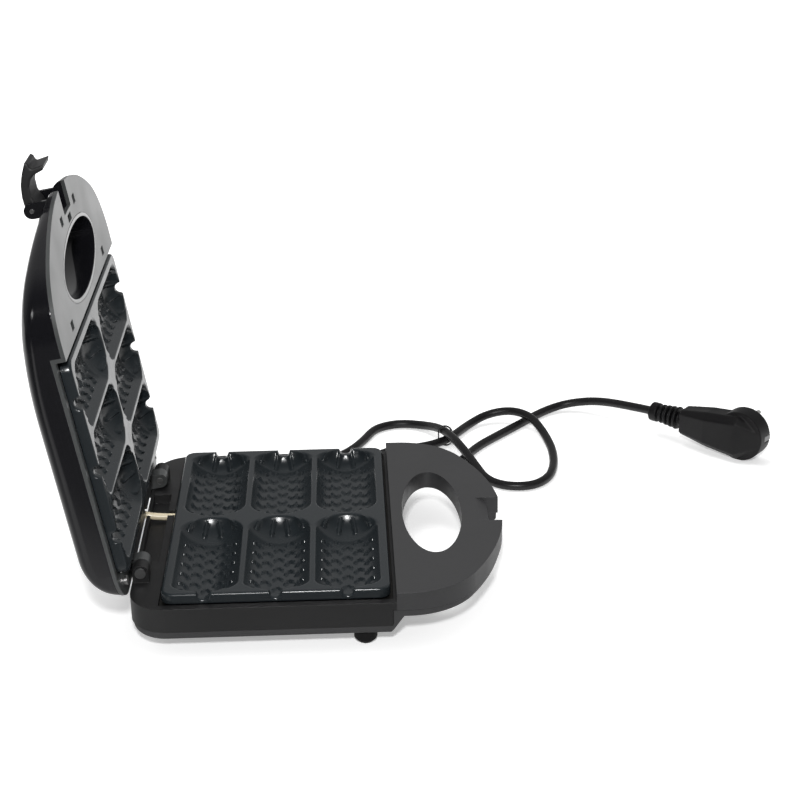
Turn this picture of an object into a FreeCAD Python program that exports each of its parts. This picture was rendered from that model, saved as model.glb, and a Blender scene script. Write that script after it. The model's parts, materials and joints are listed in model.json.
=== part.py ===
"""Snack maker for waffles on a stick: two hinged halves with six ribbed cavities in each plate.

Millimetres. +Z is up and Z = 0 is the surface that the feet stand on. X = 0 and Y = 0 is the
centre of the lower plate: -X is the hinge end, +X the handle end. The lid's pieces are modelled
closed and turned open about the hinge axis, with the latch swung out.
"""

import FreeCAD, Part
import math
import os
import re

import Sketcher
from FreeCAD import Placement, Rotation, Vector

DIMENSIONS = {
    # Cooking plate
    "plate_length": 150,
    "plate_width": 222,
    "plate_corner": 8,
    "plate_rim": 7,
    "plate_flange": 3,
    "plate_wall": 2.5,
    "plate_clearance": 1.5,
    # Cavities: what is left round and between them, and their depth
    "cavity_side_margin": 5.8,
    "cavity_end_margin": 3.4,
    "cavity_wall": 3.2,
    "cavity_from_middle": 1.6,
    "cavity_depth": 13,
    "inner_dome": 17,
    "outer_dome": 12,
    "stick_radius": 4.5,
    "rib_width": 2.4,
    "rib_height": 0.3,
    "rib_root": 2,
    "rib_count": 4,
    "rib_spread": 29,
    "dash_length": 7,
    "dash_width": 2,
    "dash_height": 1.2,
    "dash_root": 1.5,
    "dash_slant": 27,
    "dash_pitch": 19,
    "dash_columns": 5,
    "dash_rows": 3,
    # Heights
    "foot_height": 11,
    "closed_gap": 0.5,
    "rail_drop": 7,
    "cover_rise": 7,
    "handle_wall_depth": 12.7,
    "handle_depth": 19,
    "base_room": 4.6,
    "lid_room": 1.8,
    # The D-shaped outline seen from above
    "side_rail": 7,
    "handle_length": 82.41,
    "shoulder_start": 12,
    "shoulder_radius": 52,
    "hinge_corner": 25,
    "base_overhang": 6,
    "lid_overhang": 4.5,
    "handle_gap": 3.5,
    "wall": 2.5,
    "cover_inset": 1.2,
    "cover_wall": 2.2,
    "cover_gap": 0.3,
    "cover_round": 4,
    "cover_handle_round": 3,
    "slope_back": 4.5,
    "slope_front": 4,
    # Finger hole, notch and catch at the handle end
    "hole_from_plate": 32.5,
    "hole_half_length": 63,
    "hole_half_width": 21,
    "collar_width": 2.5,
    "cover_hole_side": 4,
    "cover_hole_end": 13,
    "notch_from_plate": 65,
    "notch_half_width": 18,
    "lid_notch_half_width": 13.1,
    "catch_drop": 3.3,
    "catch_thickness": 1.8,
    "catch_reach": 7.5,
    "slot_length": 8,
    "slot_width": 6,
    "slot_gap": 1.6,
    "slot_end_inset": 42,
    "slot_tip_y": 27,
    "tongue_slot_half": 6,
    # Hinge
    "hinge_gap": 15.5,
    "lid_open": 99.7,
    "knuckle_radius": 5.5,
    "knuckle_width": 10,
    "knuckle_gap": 0.5,
    "knuckle_start": 60.5,
    "pin_radius": 2.5,
    "pin_head": 1.2,
    "running_clearance": 0.05,
    "trough_depth": 7,
    "trough_end_gap": 8.5,
    # Heating element and reflector pan
    "element_radius": 3,
    "element_gap": 0.25,
    "element_front_inset": 25,
    "element_back_inset": 17,
    "element_side_inset": 51,
    "element_tail_y": 12,
    "element_bend": 16,
    "element_tail_bend": 7,
    "pan_sheet": 0.8,
    "pan_end_inset": 5,
    "pan_side_inset": 3,
    "pan_lip": 3,
    "pan_gap": 0.4,
    "boss_radius": 4,
    "boss_end_inset": 11,
    "boss_side_inset": 9,
    "pan_screw_head": 1.4,
    "pan_screw_length": 12,
    # Lid shell and latch
    "shell_drop": 3.5,
    "shell_wall": 4.5,
    "dome_back_radius": 38,
    "dome_front_radius": 340,
    "dome_back_inset": 16.5,
    "dome_front_inset": 38.5,
    "dome_round": 9,
    "latch_reach": 7.5,
    "latch_below_top": 10,
    "latch_width": 25,
    "latch_barrel": 4.6,
    "latch_pin_radius": 1.5,
    "ear_width": 3,
    "ear_radius": 5.2,
    # Feet, screws and lamps
    "foot_radius": 7.8,
    "foot_chamfer": 3.5,
    "foot_peg_radius": 2.5,
    "front_foot_end_inset": 17,
    "front_foot_side_inset": 13,
    "rear_foot_from_plate": 10.5,
    "rear_foot_side_inset": 48,
    "rear_screw_from_plate": 10,
    "rear_screw_side_inset": 20,
    "front_screw_from_plate": 15,
    "front_screw_side_inset": 28,
    "screw_radius": 1.5,
    "screw_head_radius": 3.2,
    "screw_head_height": 2.2,
    "screw_sink_gap": 0.2,
    "rear_screw_length": 14,
    "front_screw_length": 11,
    "frame_screw_length": 9.5,
    "thread_room": 1,
    "lens_radius": 4,
    "lens_lip": 1.2,
    "lens_cap": 1.6,
    "lens_x": 20,
    "lens_y": 14,
    "neon_radius": 2.5,
    "neon_length": 2.7,
    # Electrical parts at the hinge end
    "thermostat_y": 35,
    "thermostat_length": 10,
    "thermostat_width": 22,
    "thermostat_height": 9,
    "stem_rise": 5,
    "stem_radius": 3,
    "stem_length": 1.5,
    "terminal_y": 41,
    "terminal_length": 11,
    "terminal_width": 26,
    "terminal_height": 9.5,
    "terminal_pitch": 8,
    "terminal_rise": 5,
    "terminal_bore": 2,
    "terminal_bore_depth": 7,
    "fuse_start": 4,
    "fuse_inset": 5,
    "fuse_radius": 3,
    "fuse_length": 18,
    # Wire sleeve, gland and mains lead
    "sleeve_radius": 2.5,
    "sleeve_y": 22,
    "sleeve_drop": 10.5,
    "sleeve_slot": 8,
    "sleeve_slot_floor": 0.6,
    "gland_side_inset": 38,
    "gland_drop": 16,
    "gland_length": 22,
    "gland_collar": 3,
    "gland_back": 2,
    "gland_root_radius": 6.5,
    "gland_tip_radius": 5,
    "cord_radius": 3.5,
    "tie_gap": 2,
    "tie_sheet": 0.6,
    "tie_width": 2,
    "tie_rise": 6.2,
    "tie_run": 5.6,
    "plug_head_radius": 20.5,
    "plug_head_front": 12,
    "plug_disc_back": 4,
    "plug_length": 82,
    "plug_relief": 30,
    "plug_relief_core": 5,
    "plug_relief_rim": 8,
    "plug_collar": 7,
    "plug_neck_back": 8.5,
    "plug_neck_half_height": 10.5,
    "plug_shoulder": 24,
    "plug_shoulder_half_height": 15,
    "plug_hump_back": 12,
    "plug_hump_half_height": 18,
    "plug_nose": 17,
    "plug_nose_half_height": 9,
    "plug_bevel": 5,
    "plug_pin_radius": 2.4,
    "plug_pin_length": 19,
    "plug_pin_half_pitch": 9.5,
    "plug_pin_bevel": 1.3,
    "clip_half_height": 2.2,
    "clip_depth": 2,
    "clip_length": 8.5,
    # How far a cut or a joined block runs past the face that it meets
    "overrun": 1,
}

# Sizes that follow from the ones above
DERIVED = {
    "cavity_width": "(plate_length - 2 * cavity_side_margin - 2 * cavity_wall) / 3",
    "cavity_pitch": "cavity_width + cavity_wall",
    "cavity_length": "plate_width / 2 - cavity_from_middle - cavity_end_margin",
    "element_drop": "cavity_depth + plate_wall + element_gap + element_radius",
    "pan_floor": "element_drop + element_radius + element_gap",
    "pan_stack": "pan_floor + pan_sheet + pan_screw_head",
    "base_depth": "pan_stack + base_room + cover_wall",
    "housing_depth": "base_depth - cover_rise",
    "parting_height": "base_depth + foot_height",
    "dome_height": "closed_gap + pan_stack + lid_room + shell_drop",
    "half_width": "plate_width / 2 + side_rail",
    "nose_tip": "plate_length / 2 + handle_length",
    "shoulder_x": "plate_length / 2 + shoulder_start",
    "nose_run": "shoulder_x - nose_tip",
    "nose_rise": "half_width - shoulder_radius",
    "nose_gap": "shoulder_radius ^ 2 - nose_run ^ 2 - nose_rise ^ 2",
    "nose_radius": "nose_gap / (2 * (nose_run + shoulder_radius))",
    "hole_centre": "plate_length / 2 + hole_from_plate",
    "notch_start": "plate_length / 2 + notch_from_plate",
    "latch_x": "notch_start + latch_reach",
    "latch_rise": "dome_height - latch_below_top",
    "dome_flat_start": "dome_back_inset - plate_length / 2",
    "dome_flat_end": "plate_length / 2 - dome_front_inset",
    "element_reach": "plate_length / 2 - element_front_inset",
    "element_half_width": "plate_width / 2 - element_side_inset",
    "element_back": "plate_length / 2 - element_back_inset",
    "element_tail": "plate_length / 2",
    "pan_half_length": "plate_length / 2 - pan_end_inset",
    "pan_half_width": "plate_width / 2 - pan_side_inset",
    "pan_flange_length": "plate_length / 2 + pan_lip",
    "pan_flange_width": "half_width - shell_wall - pan_gap",
    "boss_x": "plate_length / 2 - boss_end_inset",
    "boss_y": "plate_width / 2 - boss_side_inset",
    "front_foot_x": "plate_length / 2 - front_foot_end_inset",
    "front_foot_y": "half_width - front_foot_side_inset",
    "rear_foot_x": "-plate_length / 2 - rear_foot_from_plate",
    "rear_foot_y": "half_width - rear_foot_side_inset",
    "rear_screw_x": "-plate_length / 2 - rear_screw_from_plate",
    "rear_screw_y": "half_width - rear_screw_side_inset",
    "front_screw_x": "plate_length / 2 + front_screw_from_plate",
    "front_screw_y": "half_width - front_screw_side_inset",
    "gland_y": "half_width - gland_side_inset",
    "bore_radius": "screw_radius + running_clearance",
}

doc = FreeCAD.newDocument("waffle_stick_maker")
sheet = doc.addObject("Spreadsheet::Sheet", "dims")
ROWS = list(DIMENSIONS.items()) + [(alias, "=" + formula) for alias, formula in DERIVED.items()]
for row, (alias, content) in enumerate(ROWS, start=1):
    sheet.set(f"A{row}", alias)
    sheet.set(f"B{row}", str(content))
    sheet.setAlias(f"B{row}", alias)
doc.recompute()
NAMES = dict(ROWS)

# Places that several pieces share, written as expressions of the sheet
HINGE_X = "-(plate_length / 2 + hinge_gap)"
HINGE_Z = "(parting_height + closed_gap / 2)"
BASE_END = f"({HINGE_X} - base_overhang)"
LID_END = f"({HINGE_X} - lid_overhang)"
HANDLE_EDGE = "(plate_length / 2 + handle_gap)"
OPENING_X = "(plate_length / 2 + plate_clearance)"
OPENING_Y = "(plate_width / 2 + plate_clearance)"
UNDER_EDGE = f"({HANDLE_EDGE} + wall)"
STEP_EDGE = f"({HANDLE_EDGE} - wall)"
FAR = "400"


def full(expression):
    """The expression with the sheet's name before each dimension."""
    return re.sub(r"[a-z_]+", lambda m: f"dims.{m[0]}" if m[0] in NAMES else m[0], expression)


def size(expression):
    """The expression's value."""
    return float(sheet.evalExpression(expression))


def bind(item, **expressions):
    """Ties properties of an object to the sheet. A double underscore stands for a dot."""
    for name, expression in expressions.items():
        item.setExpression(name.replace("__", "."), full(expression))


def new_body(label):
    body = doc.addObject("PartDesign::Body", label)
    body.Label = label
    return body


def new_sketch(body, name, plane="XY_Plane", offset="0"):
    """A sketch on one of the body's own planes, moved along the plane's normal."""
    sketch = body.newObject("Sketcher::SketchObject", name)
    origin_plane = [item for item in body.Origin.OriginFeatures if item.Role == plane][0]
    sketch.AttachmentSupport = [(origin_plane, "")]
    sketch.MapMode = "FlatFace"
    bind(sketch, AttachmentOffset__Base__z=offset)
    return sketch


def constrain(sketch, kind, *where, to):
    """A dimension of the sketch that follows an expression."""
    index = sketch.addConstraint(Sketcher.Constraint(kind, *where, size(to)))
    sketch.setExpression(f"Constraints[{index}]", full(to))


def place(sketch, piece, end, x, y):
    constrain(sketch, "DistanceX", -1, 1, piece, end, to=x)
    constrain(sketch, "DistanceY", -1, 1, piece, end, to=y)


def line(start, end):
    return Part.LineSegment(Vector(*start, 0), Vector(*end, 0))


def arc(centre, radius, start, end):
    circle = Part.Circle(Vector(*centre, 0), Vector(0, 0, 1), radius)
    return Part.ArcOfCircle(circle, math.radians(start), math.radians(end))


def polygon(sketch, corners):
    """A closed outline of straight lines through corners given as expressions."""
    first = sketch.GeometryCount
    points = [(size(x), size(y)) for x, y in corners]
    for start, end in zip(points, points[1:] + points[:1]):
        sketch.addGeometry(line(start, end), False)
    for i in range(len(points)):
        after = first + (i + 1) % len(points)
        sketch.addConstraint(Sketcher.Constraint("Coincident", first + i, 2, after, 1))
    for i, (x, y) in enumerate(corners):
        place(sketch, first + i, 1, x, y)
    return sketch


def rectangle(sketch, left, right, low, high):
    return polygon(sketch, [(left, low), (right, low), (right, high), (left, high)])


def circle(sketch, x, y, radius):
    shape = Part.Circle(Vector(size(x), size(y), 0), Vector(0, 0, 1), size(radius))
    piece = sketch.addGeometry(shape, False)
    place(sketch, piece, 3, x, y)
    constrain(sketch, "Radius", piece, to=radius)
    return sketch


def pair(sketch, x, y, radius):
    """Two equal circles, one each side of the middle."""
    circle(sketch, x, y, radius)
    return circle(sketch, x, f"-({y})", radius)


def oval(sketch, x, half_x, half_y):
    """An ellipse on the X axis whose long axis lies along Y."""
    centre = Vector(size(x), 0, 0)
    long_end = centre + Vector(0, size(half_y), 0)
    short_end = centre + Vector(size(half_x), 0, 0)
    piece = sketch.addGeometry(Part.Ellipse(long_end, short_end, centre), False)
    sketch.exposeInternalGeometry(piece)
    place(sketch, piece, 3, x, "0")
    sketch.addConstraint(Sketcher.Constraint("Vertical", piece + 1))
    constrain(sketch, "Distance", piece + 1, to=f"2 * ({half_y})")
    constrain(sketch, "Distance", piece + 2, to=f"2 * ({half_x})")
    return sketch


def smooth_chain(sketch, pieces):
    """Adds lines and arcs, each tangent to the next, as a closed outline."""
    first = sketch.GeometryCount
    for piece in pieces:
        sketch.addGeometry(piece, False)
    for i in range(len(pieces)):
        after = first + (i + 1) % len(pieces)
        sketch.addConstraint(Sketcher.Constraint("Tangent", first + i, 2, after, 1))
    return first


def d_outline(sketch, end, inset="0"):
    """The D-shaped outline: a straight hinge end, straight sides and a rounded handle."""
    side = f"(half_width - {inset})"
    back = f"({end} + {inset})"
    tip = f"(nose_tip - {inset})"
    nose = f"(nose_radius - {inset})"
    shoulder = f"(shoulder_radius - {inset})"
    corner = f"(hinge_corner - {inset})"
    w, x0, rn, rs, rc = (size(value) for value in (side, back, nose, shoulder, corner))
    nose_x = size(tip) - rn
    shoulder_x = size("shoulder_x")
    turn = math.degrees(math.atan2(w - rs, shoulder_x - nose_x))
    first = smooth_chain(
        sketch,
        [
            line((x0 + rc, -w), (shoulder_x, -w)),
            arc((shoulder_x, rs - w), rs, -90, -turn),
            arc((nose_x, 0), rn, -turn, turn),
            arc((shoulder_x, w - rs), rs, turn, 90),
            line((shoulder_x, w), (x0 + rc, w)),
            arc((x0 + rc, w - rc), rc, 90, 180),
            line((x0, w - rc), (x0, rc - w)),
            arc((x0 + rc, rc - w), rc, 180, 270),
        ],
    )
    sketch.addConstraint(Sketcher.Constraint("Horizontal", first))
    sketch.addConstraint(Sketcher.Constraint("Horizontal", first + 4))
    sketch.addConstraint(Sketcher.Constraint("Vertical", first + 6))
    constrain(sketch, "DistanceY", -1, 1, first, 1, to=f"-{side}")
    constrain(sketch, "DistanceY", -1, 1, first + 4, 1, to=side)
    constrain(sketch, "DistanceX", -1, 1, first + 6, 1, to=back)
    place(sketch, first + 2, 3, f"{tip} - {nose}", "0")
    for piece, radius in ((1, shoulder), (2, nose), (3, shoulder), (5, corner), (7, corner)):
        constrain(sketch, "Radius", first + piece, to=radius)
    return sketch


def bay_outline(sketch, end, right, inset):
    """The hinge end of the D outline, moved inward and closed by a straight line at the right."""
    side = f"(half_width - {inset})"
    back = f"({end} + {inset})"
    corner = f"(hinge_corner - {inset})"
    w, x0, x1, rc = (size(value) for value in (side, back, right, corner))
    first = sketch.GeometryCount
    pieces = [
        line((x0 + rc, -w), (x1, -w)),
        line((x1, -w), (x1, w)),
        line((x1, w), (x0 + rc, w)),
        arc((x0 + rc, w - rc), rc, 90, 180),
        line((x0, w - rc), (x0, rc - w)),
        arc((x0 + rc, rc - w), rc, 180, 270),
    ]
    for piece in pieces:
        sketch.addGeometry(piece, False)
    for i in range(len(pieces)):
        after = first + (i + 1) % len(pieces)
        kind = "Coincident" if i < 2 else "Tangent"
        sketch.addConstraint(Sketcher.Constraint(kind, first + i, 2, after, 1))
    for i in (0, 2):
        sketch.addConstraint(Sketcher.Constraint("Horizontal", first + i))
    for i in (1, 4):
        sketch.addConstraint(Sketcher.Constraint("Vertical", first + i))
    place(sketch, first + 1, 1, right, f"-{side}")
    constrain(sketch, "DistanceY", -1, 1, first + 2, 1, to=side)
    constrain(sketch, "DistanceX", -1, 1, first + 4, 1, to=back)
    for i in (3, 5):
        constrain(sketch, "Radius", first + i, to=corner)
    return sketch


def pad(body, sketch, length, middle=False, flip=False):
    feature = body.newObject("PartDesign::Pad", sketch.Name + "_pad")
    feature.Profile = sketch
    feature.Midplane = middle
    feature.Reversed = flip
    bind(feature, Length=length)
    doc.recompute()
    return feature


def pocket(body, sketch, length=None, flip=False):
    """A cut of a given depth, or right through both ways where no depth is given."""
    before = body.Shape.Volume
    feature = body.newObject("PartDesign::Pocket", sketch.Name + "_pocket")
    feature.Profile = sketch
    if length is None:
        feature.Type = "ThroughAll"
        feature.Midplane = True
    else:
        feature.Reversed = flip
        bind(feature, Length=length)
    doc.recompute()
    if not feature.Shape.Volume < before - 0.01:
        raise RuntimeError(f"{feature.Name} cuts nothing")
    return feature


def edges_where(feature, test):
    """The names of the feature's edges whose bounding box passes the test."""
    return [f"Edge{i}" for i, edge in enumerate(feature.Shape.Edges, start=1) if test(edge.BoundBox)]


def fillet(body, feature, names, radius):
    rounded = body.newObject("PartDesign::Fillet", feature.Name + "_fillet")
    rounded.Base = (feature, names)
    bind(rounded, Radius=radius)
    doc.recompute()
    if rounded.Shape.isNull() or not rounded.Shape.isValid():
        raise RuntimeError(f"{rounded.Name} fails on {names}")
    return rounded


def chamfer(body, feature, names, width):
    bevelled = body.newObject("PartDesign::Chamfer", feature.Name + "_chamfer")
    bevelled.Base = (feature, names)
    bind(bevelled, Size=width)
    doc.recompute()
    if bevelled.Shape.isNull() or not bevelled.Shape.isValid():
        raise RuntimeError(f"{bevelled.Name} fails on {names}")
    return bevelled


def mirror(body, features, plane):
    """Repeats features on the other side of one of the body's planes."""
    copy = body.newObject("PartDesign::Mirrored", features[0].Name + "_mirrored")
    copy.Originals = features
    origin_plane = [item for item in body.Origin.OriginFeatures if item.Role == plane][0]
    copy.MirrorPlane = (origin_plane, [""])
    body.Tip = copy
    doc.recompute()
    return copy


def nose_outline(sketch, left, inset):
    """The handle end of the D outline, moved inward and closed by a straight line at the left."""
    side = f"(half_width - {inset})"
    tip = f"(nose_tip - {inset})"
    nose = f"(nose_radius - {inset})"
    shoulder = f"(shoulder_radius - {inset})"
    w, x0, rn, rs = (size(value) for value in (side, left, nose, shoulder))
    nose_x = size(tip) - rn
    shoulder_x = size("shoulder_x")
    turn = math.degrees(math.atan2(w - rs, shoulder_x - nose_x))
    first = sketch.GeometryCount
    pieces = [
        line((x0, w), (x0, -w)),
        line((x0, -w), (shoulder_x, -w)),
        arc((shoulder_x, rs - w), rs, -90, -turn),
        arc((nose_x, 0), rn, -turn, turn),
        arc((shoulder_x, w - rs), rs, turn, 90),
        line((shoulder_x, w), (x0, w)),
    ]
    for piece in pieces:
        sketch.addGeometry(piece, False)
    for i in range(len(pieces)):
        after = first + (i + 1) % len(pieces)
        kind = "Coincident" if i in (0, len(pieces) - 1) else "Tangent"
        sketch.addConstraint(Sketcher.Constraint(kind, first + i, 2, after, 1))
    for i in (1, 5):
        sketch.addConstraint(Sketcher.Constraint("Horizontal", first + i))
    place(sketch, first, 1, left, side)
    place(sketch, first, 2, left, f"-{side}")
    place(sketch, first + 3, 3, f"{tip} - {nose}", "0")
    for i, radius in ((2, shoulder), (3, nose), (4, shoulder)):
        constrain(sketch, "Radius", first + i, to=radius)
    return sketch


def knuckle(sketch, x, z, foot, radius, bore):
    """A hinge knuckle seen from the side: a post with a round end and a hole for the pin."""
    cx, cz, cf, r = (size(value) for value in (x, z, foot, radius))
    up = cf < cz
    start, end = (0, 180) if up else (180, 360)
    side = 1 if up else -1
    first = sketch.GeometryCount
    pieces = [
        line((cx + side * r, cf), (cx + side * r, cz)),
        arc((cx, cz), r, start, end),
        line((cx - side * r, cz), (cx - side * r, cf)),
        line((cx - side * r, cf), (cx + side * r, cf)),
    ]
    for piece in pieces:
        sketch.addGeometry(piece, False)
    for i, kind in enumerate(("Tangent", "Tangent", "Coincident", "Coincident")):
        sketch.addConstraint(Sketcher.Constraint(kind, first + i, 2, first + (i + 1) % 4, 1))
    sketch.addConstraint(Sketcher.Constraint("Vertical", first))
    sketch.addConstraint(Sketcher.Constraint("Horizontal", first + 3))
    place(sketch, first + 1, 3, x, z)
    constrain(sketch, "Radius", first + 1, to=radius)
    constrain(sketch, "DistanceY", -1, 1, first, 1, to=foot)
    circle(sketch, x, z, bore)
    return sketch


def turn(body, sketch):
    """A revolution of the sketch about its own horizontal axis."""
    feature = body.newObject("PartDesign::Revolution", sketch.Name + "_turned")
    feature.Profile = sketch
    feature.ReferenceAxis = (sketch, ["H_Axis"])
    feature.Angle = 360
    doc.recompute()
    return feature


def group(label, items):
    """Separate solids of one kind, kept together as one piece."""
    gathered = doc.addObject("Part::Compound", label)
    gathered.Label = label
    gathered.Links = items
    doc.recompute()
    return gathered


def cut(label, base, tool):
    result = doc.addObject("Part::Cut", label)
    result.Label = label
    result.Base = base
    result.Tool = tool
    doc.recompute()
    return result


def open_lid(item):
    """Turns a piece of the lid, modelled closed, about the hinge axis to the open pose."""
    item.Placement = Placement(Vector(), Rotation(Vector(0, -1, 0), size("lid_open")))
    bind(
        item,
        Placement__Base__x=f"{HINGE_X} * (1 - cos(lid_open)) + {HINGE_Z} * sin(lid_open)",
        Placement__Base__z=f"{HINGE_Z} * (1 - cos(lid_open)) - {HINGE_X} * sin(lid_open)",
        Placement__Rotation__Angle="lid_open",
    )
    doc.recompute()
    return item


def screw(name, x, y, seat, length, head="screw_head_height"):
    """A screw standing on the point where its head meets the seat; the head lies outside."""
    body = new_body(name)
    shank = circle(new_sketch(body, name + "_shank", offset=seat), x, y, "screw_radius")
    pad(body, shank, length)
    cap = circle(new_sketch(body, name + "_head", offset=seat), x, y, "screw_head_radius")
    pad(body, cap, head, flip=True)
    return body


# Lower housing
FLOOR_OF_RAIL = "(parting_height - rail_drop - wall)"
HANDLE_UNDER = "(parting_height - handle_wall_depth)"
HOUSING_UNDER = "(parting_height - housing_depth)"
TROUGH_TOP = "(parting_height - rail_drop)"
COLLAR = ("hole_half_width + collar_width", "hole_half_length + collar_width")
body = new_body("lower_housing")
pad(body, d_outline(new_sketch(body, "base_walls", offset=HOUSING_UNDER), BASE_END), "housing_depth")
sketch = new_sketch(body, "rail_step", offset="parting_height")
pocket(body, rectangle(sketch, f"-{FAR}", HANDLE_EDGE, f"-{FAR}", FAR), "rail_drop")
sketch = new_sketch(body, "under_handle", offset=HOUSING_UNDER)
rectangle(sketch, STEP_EDGE, FAR, f"-{FAR}", FAR)
pocket(body, sketch, "housing_depth - handle_wall_depth", flip=True)
sketch = new_sketch(body, "base_bay", offset=HOUSING_UNDER)
bay_outline(sketch, BASE_END, HANDLE_EDGE, "wall")
pocket(body, sketch, "housing_depth - rail_drop - wall", flip=True)
sketch = nose_outline(new_sketch(body, "handle_bay", offset=HANDLE_UNDER), UNDER_EDGE, "wall")
oval(sketch, "hole_centre", *COLLAR)
pocket(body, sketch, "handle_wall_depth - wall", flip=True)
sketch = new_sketch(body, "notch_block", offset=HANDLE_UNDER)
NOTCH_BLOCK = ("notch_start - wall", "nose_tip - wall", "-notch_half_width - wall", "notch_half_width + wall")
pad(body, rectangle(sketch, *NOTCH_BLOCK), "handle_wall_depth")
# A trough in the deck between the hinges
TROUGH_HALF = "(knuckle_start - trough_end_gap)"
TROUGH = (f"{BASE_END} + wall", f"-{OPENING_X} - 2 * wall", f"-{TROUGH_HALF}", TROUGH_HALF)
sketch = new_sketch(body, "trough_block", offset=f"{TROUGH_TOP} - trough_depth - wall")
outer = (f"{TROUGH[0]} - wall / 2", f"{TROUGH[1]} + wall", f"{TROUGH[2]} - wall", f"{TROUGH[3]} + wall")
pad(body, rectangle(sketch, *outer), "trough_depth + wall")
pocket(body, rectangle(new_sketch(body, "trough", offset=TROUGH_TOP), *TROUGH), "trough_depth")
# Bosses for the screws of the bottom cover
REAR_SCREWS = ("rear_screw_x", "rear_screw_y")
FRONT_SCREWS = ("front_screw_x", "front_screw_y")
HEAD_SEAT = "(screw_head_height + screw_sink_gap)"
FRONT_RISE = "(handle_depth - handle_wall_depth)"
sketch = pair(new_sketch(body, "rear_boss", offset=HOUSING_UNDER), *REAR_SCREWS, "boss_radius")
pad(body, sketch, "housing_depth - rail_drop - wall / 2")
sketch = pair(new_sketch(body, "front_boss", offset=HANDLE_UNDER), *FRONT_SCREWS, "boss_radius")
pad(body, sketch, "handle_wall_depth - wall / 2")
sketch = pair(new_sketch(body, "rear_thread", offset=HOUSING_UNDER), *REAR_SCREWS, "bore_radius")
pocket(body, sketch, f"rear_screw_length + {HEAD_SEAT} - cover_rise + thread_room", flip=True)
sketch = pair(new_sketch(body, "front_thread", offset=HANDLE_UNDER), *FRONT_SCREWS, "bore_radius")
pocket(body, sketch, f"front_screw_length + {HEAD_SEAT} - {FRONT_RISE} + thread_room", flip=True)
# Openings
sketch = new_sketch(body, "plate_opening", offset="parting_height")
rectangle(sketch, f"-{OPENING_X}", OPENING_X, f"-{OPENING_Y}", OPENING_Y)
pocket(body, sketch, "rail_drop + wall + overrun")
pocket(body, oval(new_sketch(body, "base_hole"), "hole_centre", "hole_half_width", "hole_half_length"))
sketch = new_sketch(body, "base_notch")
pocket(body, rectangle(sketch, "notch_start", FAR, "-notch_half_width", "notch_half_width"))
sketch = new_sketch(body, "sleeve_slot", offset=TROUGH_TOP)
SLEEVE_SIDES = ("sleeve_y - sleeve_slot / 2", "sleeve_y + sleeve_slot / 2")
rectangle(sketch, f"{BASE_END} - overrun", "-plate_length / 2", *SLEEVE_SIDES)
pocket(body, sketch, "rail_drop - sleeve_slot_floor")
sketch = new_sketch(body, "gland_hole", "YZ_Plane", f"{BASE_END} - overrun")
circle(sketch, "gland_y", "parting_height - gland_drop", "gland_tip_radius")
pocket(body, sketch, "wall + 2 * overrun", flip=True)
# The catch across the notch: a ramp that slopes down outward
sketch = new_sketch(body, "catch", "XZ_Plane")
polygon(
    sketch,
    [
        ("notch_start - overrun", "parting_height - catch_thickness"),
        ("notch_start", "parting_height - catch_thickness"),
        ("notch_start + catch_reach", "parting_height - catch_drop - catch_thickness"),
        ("notch_start + catch_reach", "parting_height - catch_drop"),
        ("notch_start", "parting_height"),
        ("notch_start - overrun", "parting_height"),
    ],
)
pad(body, sketch, "2 * notch_half_width + overrun", middle=True)
# Hinge posts, mirrored
sketch = new_sketch(body, "base_knuckle", "XZ_Plane", "knuckle_start + knuckle_width + knuckle_gap")
knuckle(sketch, HINGE_X, HINGE_Z, f"{TROUGH_TOP} - overrun", "knuckle_radius", "pin_radius")
mirror(body, [pad(body, sketch, "knuckle_width")], "XZ_Plane")

# Bottom cover
COVER_UNDER = "(parting_height - base_depth)"
COVER_HANDLE = "(parting_height - handle_depth)"
COVER_EDGE = f"({STEP_EDGE} + cover_gap)"
body = new_body("bottom_cover")
sketch = d_outline(new_sketch(body, "cover_walls", offset=COVER_UNDER), BASE_END, "cover_inset")
pad(body, sketch, "base_depth - handle_wall_depth")
sketch = new_sketch(body, "cover_step", offset=HANDLE_UNDER)
pocket(body, rectangle(sketch, f"-{FAR}", COVER_EDGE, f"-{FAR}", FAR), "housing_depth - handle_wall_depth")
sketch = new_sketch(body, "cover_slope", "XZ_Plane")
polygon(
    sketch,
    [
        (f"{HANDLE_EDGE} - slope_back", f"{COVER_UNDER} - overrun"),
        (FAR, f"{COVER_UNDER} - overrun"),
        (FAR, COVER_HANDLE),
        (f"{HANDLE_EDGE} + slope_front", COVER_HANDLE),
        (f"{HANDLE_EDGE} - slope_back", COVER_UNDER),
    ],
)
sloped = pocket(body, sketch)
low = size(COVER_UNDER)
slope_start = size(f"{HANDLE_EDGE} - slope_back")
names = edges_where(sloped, lambda b: b.ZMax - low < 0.01 and b.XMin < slope_start - 0.01)
rounded = fillet(body, sloped, names, "cover_round")
low = size(COVER_HANDLE)
slope_end = size(f"{HANDLE_EDGE} + slope_front")
names = edges_where(rounded, lambda b: abs(b.ZMin - low) + b.ZLength < 0.01 and b.XMax > slope_end + 0.01)
fillet(body, rounded, names, "cover_handle_round")
sketch = new_sketch(body, "cover_bay", offset=HOUSING_UNDER)
inner = "(cover_inset + cover_wall)"
bay_end = f"{HANDLE_EDGE} - slope_back - cover_wall"
pocket(body, bay_outline(sketch, BASE_END, bay_end, inner), "cover_rise - cover_wall")
sketch = new_sketch(body, "cover_handle_bay", offset=HANDLE_UNDER)
nose_outline(sketch, f"{COVER_EDGE} + cover_wall", inner)
COVER_HOLE = ("hole_half_width + cover_hole_side", "hole_half_length + cover_hole_end")
oval(sketch, "hole_centre", *(f"{half} + cover_wall" for half in COVER_HOLE))
pocket(body, sketch, f"{FRONT_RISE} - cover_wall")
sketch = new_sketch(body, "cover_notch_block", offset=f"{COVER_HANDLE} + cover_wall / 2")
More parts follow.
